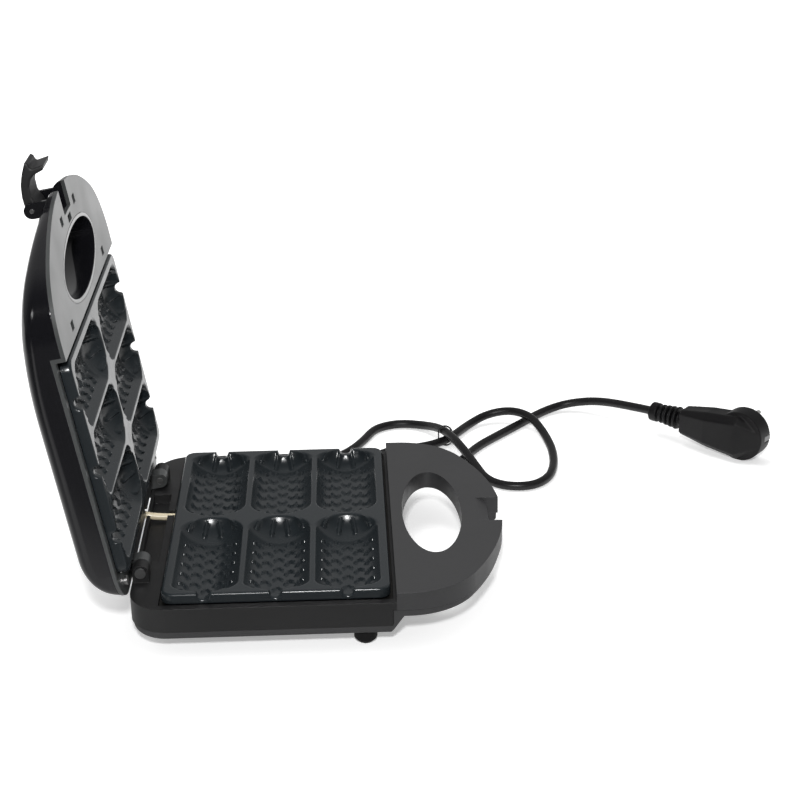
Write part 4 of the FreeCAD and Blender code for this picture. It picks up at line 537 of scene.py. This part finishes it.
def plate_surface(sizes):
    """Points of the plate's top as a grid of rows and columns, with rounded corners and edge."""
    length = PLATE_HIGH.x - PLATE_LOW.x
    width = PLATE_HIGH.y - PLATE_LOW.y
    columns = UNDER_STEP * round(length / sizes.grid / UNDER_STEP) + 1
    rows = UNDER_STEP * round(width / sizes.grid / UNDER_STEP) + 1
    along_x = np.linspace(-length / 2, length / 2, columns)
    along_y = np.linspace(-width / 2, width / 2, rows)
    x, y = np.meshgrid(along_x, along_y)
    height = np.full_like(x, NO_CAVITY)
    for column in (-1, 0, 1):
        height = np.minimum(height, cavity_height(x - column * sizes.cavity_pitch, np.abs(y), sizes))
    surface = soft_floor(height, np.zeros_like(height), sizes.rim_round)
    inner_x = length / 2 - sizes.corner
    inner_y = width / 2 - sizes.corner
    out_x = np.clip(np.abs(x) - inner_x, 0, None)
    out_y = np.clip(np.abs(y) - inner_y, 0, None)
    span = np.maximum(np.hypot(out_x, out_y), TINY)
    pull = np.where((out_x > 0) & (out_y > 0), np.maximum(out_x, out_y) / span, 1)
    x = np.where(out_x > 0, np.sign(x) * (inner_x + out_x * pull), x)
    y = np.where(out_y > 0, np.sign(y) * (inner_y + out_y * pull), y)
    edge = np.clip(np.maximum(out_x, out_y) - sizes.corner + sizes.edge_round, 0, None)
    surface -= sizes.edge_round - np.sqrt(np.clip(sizes.edge_round**2 - edge**2, 0, None))
    return np.stack([x, y, surface + PLATE_HIGH.z], axis=-1)


def ring_of(grid):
    """The grid's outer points in order round it."""
    return np.concatenate([grid[0, :-1], grid[:-1, -1], grid[-1, :0:-1], grid[:0:-1, 0]])


def plate_mesh(sizes):
    """The plate: a fine top surface, a skirt and a coarser hollow underside."""
    top = plate_surface(sizes)
    rows, columns = top.shape[:2]
    index = np.arange(rows * columns).reshape(rows, columns)
    corners = [index[:-1, :-1], index[:-1, 1:], index[1:, 1:], index[1:, :-1]]
    faces = np.stack(corners, axis=-1).reshape(-1, 4).tolist()
    ring = ring_of(index)
    skirt = top.reshape(-1, 3)[ring]
    skirt[:, 2] = PLATE_HIGH.z - sizes.skirt
    low = np.full((rows, columns), -1)
    low.reshape(-1)[ring] = index.size + np.arange(len(ring))
    after = np.roll(ring, -1)
    faces += np.stack([ring, low.reshape(-1)[ring], low.reshape(-1)[after], after], axis=-1).tolist()
    inner = slice(UNDER_STEP, -1, UNDER_STEP)
    under = top[inner, inner].copy()
    under[..., 2] = np.minimum(under[..., 2], PLATE_HIGH.z - UNDER_DROP) - sizes.wall
    first = index.size + len(ring)
    low[inner, inner] = first + np.arange(under[..., 0].size).reshape(under.shape[:2])
    for row in range(0, rows - 1, UNDER_STEP):
        for column in range(0, columns - 1, UNDER_STEP):
            cell = low[row : row + UNDER_STEP + 1, column : column + UNDER_STEP + 1]
            faces.append([point for point in ring_of(cell)[::-1].tolist() if point >= 0])
    mesh = bpy.data.meshes.new("plate surface")
    mesh.from_pydata(np.concatenate([top.reshape(-1, 3), skirt, under.reshape(-1, 3)]).tolist(), [], faces)
    mesh.validate()
    mesh.shade_smooth()
    mesh.set_sharp_from_angle(angle=SHARP_ANGLE)
    return mesh


def turned_over(mesh):
    """A copy of the lower plate's mesh turned over into the open lid."""
    over = Matrix.Translation((0, 0, 2 * HINGE.z)) @ Matrix.Rotation(math.pi, 4, "Y")
    opened = Matrix.Translation(HINGE) @ Matrix.Rotation(-LID_OPEN, 4, "Y") @ Matrix.Translation(-HINGE)
    copy = mesh.copy()
    copy.transform(opened @ over)
    return copy


class MAKER_OT_plates(bpy.types.Operator):
    """Make both ribbed cooking plates"""

    bl_idname = "maker.plates"
    bl_label = "Cooking Plates"

    def execute(self, context):
        coat = finish("non-stick coat")
        lower = plate_mesh(settings("maker_plate"))
        for name, mesh, body in (("lower_plate", lower, "base"), ("upper_plate", turned_over(lower), "lid")):
            piece = new_piece(name + "_surface", mesh, coat, body)
            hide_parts(name)
        return {"FINISHED"}


# Mains lead and heat-proof sleeve

CURVE_ORDER = 3
STEPS_ALONG, STEPS_AROUND = 8, 4
# Control points in millimetres
LEAD_ROUTE = [
    (-118.5, 80, 26), (-138, 81.5, 20.5), (-156, 91, 12), (-166, 110, 5.5), (-162, 132, 3.6),
    (-144, 147, 3.6), (-119, 152, 3.6), (-90, 151, 3.6), (-58, 149, 3.6), (-26, 152, 3.6), (4, 158, 3.6),
    (31, 169, 3.6), (50, 186, 3.6), (63, 210, 3.6), (72, 232.6, 3.6), (92.7, 242.3, 3.6),
    (114.3, 234.5, 4.5), (125, 215, 10.5), (132, 196.5, 13.6), (141, 170.5, 13), (150.5, 147, 7),
    (157.5, 126.5, 3.6), (173, 113.5, 3.6), (193, 113.5, 3.6), (207, 127, 3.6), (213.5, 147.5, 3.6),
    (216, 171, 3.6), (215.5, 192, 4.2), (210.5, 214.5, 8), (203, 232, 11.9), (187.5, 245, 11.9),
    (167.5, 246, 8), (150.5, 233.5, 3.8), (140, 214.5, 5), (127.5, 198.5, 5), (109.5, 190.5, 4.2),
    (88, 189, 3.6), (68.5, 176, 3.6), (63.5, 151, 3.6), (78, 130, 3.6), (102.5, 124.5, 3.6),
    (124.5, 136.5, 3.6), (138.5, 159.5, 3.6), (154.5, 189, 3.6), (175, 212, 3.6), (195, 233.5, 3.6),
    (214.9, 256.5, 3.6), (233.4, 267.2, 5.5), (250.3, 264.4, 9.5), (265.9, 253.8, 14), (285, 234.2, 18),
    (304, 214.6, 20.6),
]
SLEEVE_ROUTE = [(-72, 22, 31.5), (-97, 22, 31.5), (-103.5, 22, 39.5), (-105.8, 22, 51.5)]


def round_line(name, points, diameter):
    """A smooth curve with a round section that follows control points."""
    curve = bpy.data.curves.new(name, "CURVE")
    curve.dimensions = "3D"
    spline = curve.splines.new("NURBS")
    spline.points.add(len(points) - 1)
    for point, place in zip(spline.points, points):
        point.co = (*(value * MM for value in place), 1)
    spline.order_u = CURVE_ORDER
    spline.use_endpoint_u = True
    spline.resolution_u = STEPS_ALONG
    curve.bevel_depth = diameter / 2
    curve.bevel_resolution = STEPS_AROUND
    curve.use_fill_caps = True
    return curve


class MAKER_OT_lead(bpy.types.Operator):
    """Make the mains lead"""

    bl_idname = "maker.lead"
    bl_label = "Mains Lead"

    def execute(self, context):
        sizes = settings("maker_lead")
        curve = round_line("mains_lead", LEAD_ROUTE, sizes.diameter)
        lead = new_piece("mains_lead", curve, finish("lead jacket"), "base")
        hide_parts("power_cord")
        plug = [frame["nodes"][name] for name in ("plug_pins", "plug_earth_clips", "cord_tie")]
        plug.append(bpy.data.objects["plug_body_moulded"])
        return {"FINISHED"}


class MAKER_OT_sleeve(bpy.types.Operator):
    """Make the woven sleeve between base and lid, a fixed curve with a bend"""

    bl_idname = "maker.sleeve"
    bl_label = "Heat-proof Sleeve"

    def execute(self, context):
        sizes = settings("maker_lead")
        weave = finish("glass fibre sleeve")
        curve = round_line("wire_sleeve_line", SLEEVE_ROUTE, sizes.sleeve)
        line = bpy.data.objects.new("wire_sleeve_line", curve)
        bpy.context.scene.collection.objects.link(line)
        bpy.context.view_layer.update()
        mesh = bpy.data.meshes.new_from_object(line.evaluated_get(bpy.context.evaluated_depsgraph_get()))
        bpy.data.objects.remove(line)
        mesh.shade_smooth()
        sleeve = new_piece("wire_sleeve_bend", mesh, weave, None)
        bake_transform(sleeve)
        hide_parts("wire_sleeve")
        return {"FINISHED"}


# Finishes of the CAD pieces

# What each finish passes to skin_material, with its colour by the name of a setting
FINISHES = {
    # body=0.25 paints shade on the body's wall beside the handle
    "matte housing": dict(
        colour="housing", gloss=(0.42, 0.55), depth=0.05, body=0.25, Specular_IOR_Level=0.5
    ),
    "matte cover": dict(colour="housing", gloss=(0.42, 0.55), depth=0.05, Specular_IOR_Level=0.5),
    "dark moulding": dict(colour="latch", gloss=(0.42, 0.55), depth=0.05, Specular_IOR_Level=0.4),
    "satin lid face": dict(colour="frame", gloss=(0.3, 0.4), broad=20, Specular_IOR_Level=0.6),
    "polished shell": dict(colour="shell", grain=400, broad=14, gloss=(0.06, 0.14), depth=0.004, edge=1),
    "soft rubber": dict(colour="rubber", grain=1000, broad=50, gloss=(0.42, 0.58), Specular_IOR_Level=0.22),
    "bright steel": dict(colour="steel", cloud=0.8, broad=90, gloss=(0.22, 0.36), depth=0.01, Metallic=1.0),
    "dull steel": dict(colour="dull_steel", broad=90, gloss=(0.35, 0.5), depth=0.01, Metallic=1.0),
    "nickel": dict(colour="nickel", cloud=0.85, broad=90, gloss=(0.15, 0.25), depth=0.005, Metallic=1.0),
    # The reflectors' dark colour is painted shade for the gap beside the handle
    "heated sheet": dict(colour="sheet", grain=700, broad=40, gloss=(0.45, 0.6), depth=0.02, Metallic=1.0),
    "element tube": dict(colour="element", grain=900, broad=60, gloss=(0.4, 0.6), Metallic=1.0),
    "electrical moulding": dict(colour="moulding", cloud=1.2, broad=60, gloss=(0.35, 0.5)),
    "red lens": dict(colour="red", grain=500, broad=300, gloss=(0.06, 0.14), depth=0.005),
    "green lens": dict(colour="green", grain=500, broad=300, gloss=(0.06, 0.14), depth=0.005),
    "neon glass": dict(colour="neon", cloud=0.9, grain=500, broad=300, gloss=(0.08, 0.16), depth=0.005),
    "non-stick coat": dict(
        colour="plate", cloud=1.25, grain=2600, broad=45, gloss=(0.2, 0.28), depth=0.015, edge=0.2,
        Specular_IOR_Level=0.4,
    ),
    "lead jacket": dict(
        colour="rubber", cloud=1.5, grain=900, broad=60, gloss=(0.36, 0.5), edge=0, Specular_IOR_Level=0.35
    ),
    "glass fibre sleeve": dict(
        colour="sleeve", cloud=0.8, grain=1200, broad=250, gloss=(0.2, 0.3), depth=0.2, edge=0
    ),
}
CAD_FINISHES = {
    "matte housing": ("lower_housing",),
    "matte cover": ("bottom_cover",),
    "dark moulding": ("latch",),
    "satin lid face": ("upper_frame",),
    "polished shell": ("upper_shell",),
    "soft rubber": ("feet", "cord_gland", "plug_body", "cord_tie", "power_cord"),
    "bright steel": ("cover_screws", "frame_screws", "lower_plate_screws", "upper_plate_screws"),
    "dull steel": ("hinge_pins", "latch_pin", "plug_earth_clips"),
    "nickel": ("plug_pins",),
    "heated sheet": ("lower_reflector", "upper_reflector", "thermal_fuse"),
    "element tube": ("lower_element", "upper_element"),
    "electrical moulding": ("thermostat", "terminal_block"),
    "red lens": ("power_lens",),
    "green lens": ("ready_lens",),
    "neon glass": ("lamp_neons",),
    "non-stick coat": ("lower_plate", "upper_plate"),
    "glass fibre sleeve": ("wire_sleeve",),
}


def finish(name):
    """A finish from the table, made on its first use."""
    if name not in bpy.data.materials:
        values = dict(FINISHES[name])
        colour = getattr(settings("maker_finish"), values.pop("colour"))
        skin_material(name, tuple(colour), **values)
    return bpy.data.materials[name]


class MAKER_OT_finishes(bpy.types.Operator):
    """Give each CAD piece its finish"""

    bl_idname = "maker.finishes"
    bl_label = "Finishes"

    def execute(self, context):
        for name, nodes in CAD_FINISHES.items():
            for node in nodes:
                materials = frame["nodes"][node].data.materials
                materials.clear()
                materials.append(finish(name))
        return {"FINISHED"}


# Mouldings with soft edges

SMOOTHING = 0.5
# The finish, body and slot of each
MOULDINGS = {
    "plug_body": ("soft rubber", "base", "rubber_black"),
    "cord_gland": ("soft rubber", "base", "rubber_black"),
    "feet": ("soft rubber", "base", "rubber_black"),
    "latch": ("dark moulding", "latch", "gloss_black"),
}


def softened(node, voxel, passes):
    """A copy of a CAD piece's mesh with its edges rounded off."""
    mesh = node.data.copy()
    mesh.transform(node.matrix_world)
    rough = bpy.data.objects.new("rough", mesh)
    bpy.context.scene.collection.objects.link(rough)
    even = rough.modifiers.new("even grid", "REMESH")
    even.mode = "VOXEL"
    even.voxel_size = voxel
    soften = rough.modifiers.new("soften", "SMOOTH")
    soften.factor = SMOOTHING
    soften.iterations = passes
    bpy.context.view_layer.update()
    soft = bpy.data.meshes.new_from_object(rough.evaluated_get(bpy.context.evaluated_depsgraph_get()))
    bpy.data.objects.remove(rough)
    soft.materials.clear()
    soft.shade_smooth()
    return soft


class MAKER_OT_mouldings(bpy.types.Operator):
    """Make the plug, gland, feet and latch with moulded edges"""

    bl_idname = "maker.mouldings"
    bl_label = "Soft Mouldings"

    def execute(self, context):
        sizes = settings("maker_moulding")
        for name, (skin, body, slot) in MOULDINGS.items():
            mesh = softened(frame["nodes"][name], sizes.voxel, sizes.passes)
            piece = new_piece(name + "_moulded", mesh, finish(skin), body)
            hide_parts(name)
        return {"FINISHED"}


# Stage

CAMERA_PLACE = (0.05176, -1.08283, 0.58667)
CAMERA_TURN, CAMERA_RISE, CAMERA_ROLL = -0.0300410162, 0.398974459, -0.0158332102
SENSOR_WIDTH = 36
FARTHEST_VIEW = 50
# Where each lamp is, what it points at, and its diameter
LAMPS = {
    "key": ((-0.15, 0.35, 1.5), (0, 0, 0), 0.9),
    "flash": ((0.02, -1.05, 0.82), (0, 0, 0.08), 0.12),
    "window": ((-0.69, -1.03, 0.85), (-0.19, -0.12, 0.27), 0.2),
}
WHITE = (1, 1, 1, 1)
FLOOR_REACH = 6
FLOOR_COLOUR = (0.9, 0.9, 0.9, 1)
FLOOR_ROUGHNESS = 0.9
# The floor in front of the object, as the object mirrors it
MIRRORED_COLOUR = (0.08, 0.08, 0.08, 1)
# From front to back, where the room's light and the mirrored floor's light grow
ROOM_SPAN = (-0.6, 0.3)
MIRROR_SPAN = (-0.35, 0.15)
# Distance from the middle over which the floor turns white
FLOOR_SPAN = (0.5, 1.4)
# A pale streak on the floor that shows only in reflections: the way across it, its edge and its light
STREAK_ACROSS = (0.77, -0.64, 0)
STREAK_SPAN = (0.12, 0.02)
STREAK_LIGHT = 0.5


def camera_matrix():
    """The camera's place and turn, from its heading, height angle and roll."""
    back = Vector(
        (
            math.sin(CAMERA_TURN) * math.cos(CAMERA_RISE),
            -math.cos(CAMERA_TURN) * math.cos(CAMERA_RISE),
            math.sin(CAMERA_RISE),
        )
    )
    level = Vector((math.cos(CAMERA_TURN), math.sin(CAMERA_TURN), 0))
    upright = back.cross(level)
    right = level * math.cos(CAMERA_ROLL) + upright * math.sin(CAMERA_ROLL)
    up = upright * math.cos(CAMERA_ROLL) - level * math.sin(CAMERA_ROLL)
    turn = Matrix((right, up, back)).transposed().to_4x4()
    return Matrix.Translation(CAMERA_PLACE) @ turn


def combined(nodes, links, operation, a, b):
    """The result of a Math node on two values, each a number or a socket."""
    both = nodes.new("ShaderNodeMath")
    both.operation = operation
    for socket, value in zip(both.inputs, (a, b)):
        if isinstance(value, (int, float)):
            socket.default_value = value
        else:
            links.new(value, socket)
    return both.outputs["Value"]


def to_the_eye(nodes, links, path):
    """One for what the camera sees, straight or through glass."""
    return combined(
        nodes, links, "MAXIMUM", path.outputs["Is Camera Ray"], path.outputs["Is Transmission Ray"]
    )


def soft_ramp(nodes, links, value, span, low=0, high=1):
    """A value that goes softly from low to high while another crosses a span."""
    ramp = nodes.new("ShaderNodeMapRange")
    ramp.interpolation_type = "SMOOTHSTEP"
    ramp.inputs["From Min"].default_value = span[0]
    ramp.inputs["From Max"].default_value = span[1]
    ramp.inputs["To Min"].default_value = low
    ramp.inputs["To Max"].default_value = high
    links.new(value, ramp.inputs["Value"])
    return ramp.outputs["Result"]


def front_to_back(nodes, links, vector, span, low):
    """A value that grows from low in front of the object to one behind it."""
    parts = nodes.new("ShaderNodeSeparateXYZ")
    links.new(vector, parts.inputs["Vector"])
    return soft_ramp(nodes, links, parts.outputs["Y"], span, low)


def outward(nodes, links, vector, span, low):
    """A value that grows from low round the object to one far away from it."""
    distance = nodes.new("ShaderNodeVectorMath")
    distance.operation = "LENGTH"
    links.new(vector, distance.inputs[0])
    return soft_ramp(nodes, links, distance.outputs["Value"], span, low)


def streak(nodes, links, vector):
    """The light of the streak on the floor."""
    across = nodes.new("ShaderNodeVectorMath")
    across.operation = "DOT_PRODUCT"
    links.new(vector, across.inputs[0])
    across.inputs[1].default_value = STREAK_ACROSS
    apart = nodes.new("ShaderNodeMath")
    apart.operation = "ABSOLUTE"
    links.new(across.outputs["Value"], apart.inputs[0])
    return soft_ramp(nodes, links, apart.outputs["Value"], STREAK_SPAN, high=STREAK_LIGHT)


def pale_room(stage):
    """A world that is white to the eye and lights the object less from the front."""
    world = bpy.data.worlds.new("pale room")
    world.use_nodes = True
    nodes, links = world.node_tree.nodes, world.node_tree.links
    backdrop = nodes["Background"]
    backdrop.inputs["Color"].default_value = WHITE
    path = nodes.new("ShaderNodeLightPath")
    place = nodes.new("ShaderNodeTexCoord")
    room = front_to_back(nodes, links, place.outputs["Generated"], ROOM_SPAN, stage.front)
    lit = nodes.new("ShaderNodeMix")
    links.new(path.outputs["Is Glossy Ray"], lit.inputs["Factor"])
    links.new(combined(nodes, links, "MULTIPLY", room, stage.sky), lit.inputs["A"])
    links.new(combined(nodes, links, "MULTIPLY", room, stage.mirror), lit.inputs["B"])
    eye = to_the_eye(nodes, links, path)
    seen = nodes.new("ShaderNodeMix")
    links.new(eye, seen.inputs["Factor"])
    links.new(lit.outputs["Result"], seen.inputs["A"])
    seen.inputs["B"].default_value = 1
    links.new(seen.outputs["Result"], backdrop.inputs["Strength"])
    return world


def pale_floor(stage):
    """A floor that keeps the shadow, turns white far away, and is darker in front where it is mirrored."""
    pale = bpy.data.materials.new("pale floor")
    pale.use_nodes = True
    nodes, links = pale.node_tree.nodes, pale.node_tree.links
    shader = nodes["Principled BSDF"]
    shader.inputs["Base Color"].default_value = FLOOR_COLOUR
    shader.inputs["Roughness"].default_value = FLOOR_ROUGHNESS
    shader.inputs["Specular IOR Level"].default_value = 0
    shader.inputs["Emission Color"].default_value = WHITE
    path = nodes.new("ShaderNodeLightPath")
    place = nodes.new("ShaderNodeNewGeometry").outputs["Position"]
    behind = front_to_back(nodes, links, place, MIRROR_SPAN, 0)
    shining = combined(nodes, links, "MAXIMUM", behind, streak(nodes, links, place))
    mirrored = combined(nodes, links, "MULTIPLY", path.outputs["Is Glossy Ray"], shining)
    eye = to_the_eye(nodes, links, path)
    showing = combined(nodes, links, "MAXIMUM", eye, mirrored)
    distant = outward(nodes, links, place, FLOOR_SPAN, stage.lift)
    links.new(combined(nodes, links, "MULTIPLY", showing, distant), shader.inputs["Emission Strength"])
    dim = nodes.new("ShaderNodeBsdfDiffuse")
    dim.inputs["Color"].default_value = MIRRORED_COLOUR
    ahead = combined(nodes, links, "SUBTRACT", path.outputs["Is Glossy Ray"], mirrored)
    both = nodes.new("ShaderNodeMixShader")
    links.new(ahead, both.inputs["Fac"])
    links.new(shader.outputs["BSDF"], both.inputs[1])
    links.new(dim.outputs["BSDF"], both.inputs[2])
    links.new(both.outputs["Shader"], nodes["Material Output"].inputs["Surface"])
    return pale


def lamp(name, place, target, diameter, power):
    """A round lamp that points at a target."""
    light = bpy.data.lights.new(name, "AREA")
    light.energy = power
    light.size = diameter
    light.shape = "DISK"
    holder = bpy.data.objects.new(name, light)
    bpy.context.scene.collection.objects.link(holder)
    holder.location = place
    holder.rotation_euler = (Vector(target) - Vector(place)).to_track_quat("-Z", "Y").to_euler()
    return holder


class MAKER_OT_stage(bpy.types.Operator):
    """Set the floor, lamps and camera"""

    bl_idname = "maker.stage"
    bl_label = "Stage"

    def execute(self, context):
        stage = settings("maker_stage")
        scene = context.scene
        scene.view_settings.view_transform = "Standard"
        scene.world = pale_room(stage)

        floor_mesh = bpy.data.meshes.new("floor")
        sides = [(-1, -1), (1, -1), (1, 1), (-1, 1)]
        corners = [(x * FLOOR_REACH, y * FLOOR_REACH, 0) for x, y in sides]
        floor_mesh.from_pydata(corners, [], [(0, 1, 2, 3)])
        floor_mesh.materials.append(pale_floor(stage))
        floor = bpy.data.objects.new("floor", floor_mesh)
        scene.collection.objects.link(floor)

        lamps = {name: lamp(name, *where, getattr(stage, name)) for name, where in LAMPS.items()}
        lamps["key"].visible_glossy = False

        camera = bpy.data.objects.new("camera", bpy.data.cameras.new("camera"))
        scene.collection.objects.link(camera)
        camera.data.lens = stage.focal
        camera.data.sensor_width = SENSOR_WIDTH
        camera.data.clip_end = FARTHEST_VIEW
        camera.matrix_world = camera_matrix()
        scene.camera = camera
        return {"FINISHED"}


class MAKER_PT_panel(bpy.types.Panel):
    """Lists the steps that dress the maker"""

    bl_idname = "MAKER_PT_panel"
    bl_label = "Waffle Stick Maker"
    bl_space_type = "VIEW_3D"
    bl_region_type = "UI"
    bl_category = "Maker"

    def draw(self, context):
        for operator in STEPS:
            self.layout.operator(operator.bl_idname)
        for name in SETTINGS:
            group = settings(name)
            for label in group.__annotations__:
                self.layout.prop(group, label)


STEPS = [
    MAKER_OT_stage,
    MAKER_OT_finishes,
    MAKER_OT_mouldings,
    MAKER_OT_lead,
    MAKER_OT_sleeve,
    MAKER_OT_plates,
]
SETTINGS = {
    "maker_plate": PlateSizes,
    "maker_lead": LeadSizes,
    "maker_moulding": MouldingSizes,
    "maker_finish": FinishColours,
    "maker_stage": StageSettings,
}


def register():
    for kind in [*SETTINGS.values(), *STEPS, MAKER_PT_panel]:
        bpy.utils.register_class(kind)
    for name, kind in SETTINGS.items():
        setattr(bpy.types.Scene, name, bpy.props.PointerProperty(type=kind))


def unregister():
    for name in SETTINGS:
        delattr(bpy.types.Scene, name)
    for kind in [MAKER_PT_panel, *STEPS, *SETTINGS.values()]:
        bpy.utils.unregister_class(kind)


def main():
    register()
    for operator in STEPS:
        family, step = operator.bl_idname.split(".")
        getattr(getattr(bpy.ops, family), step)()


if __name__ == "__main__":
    main()
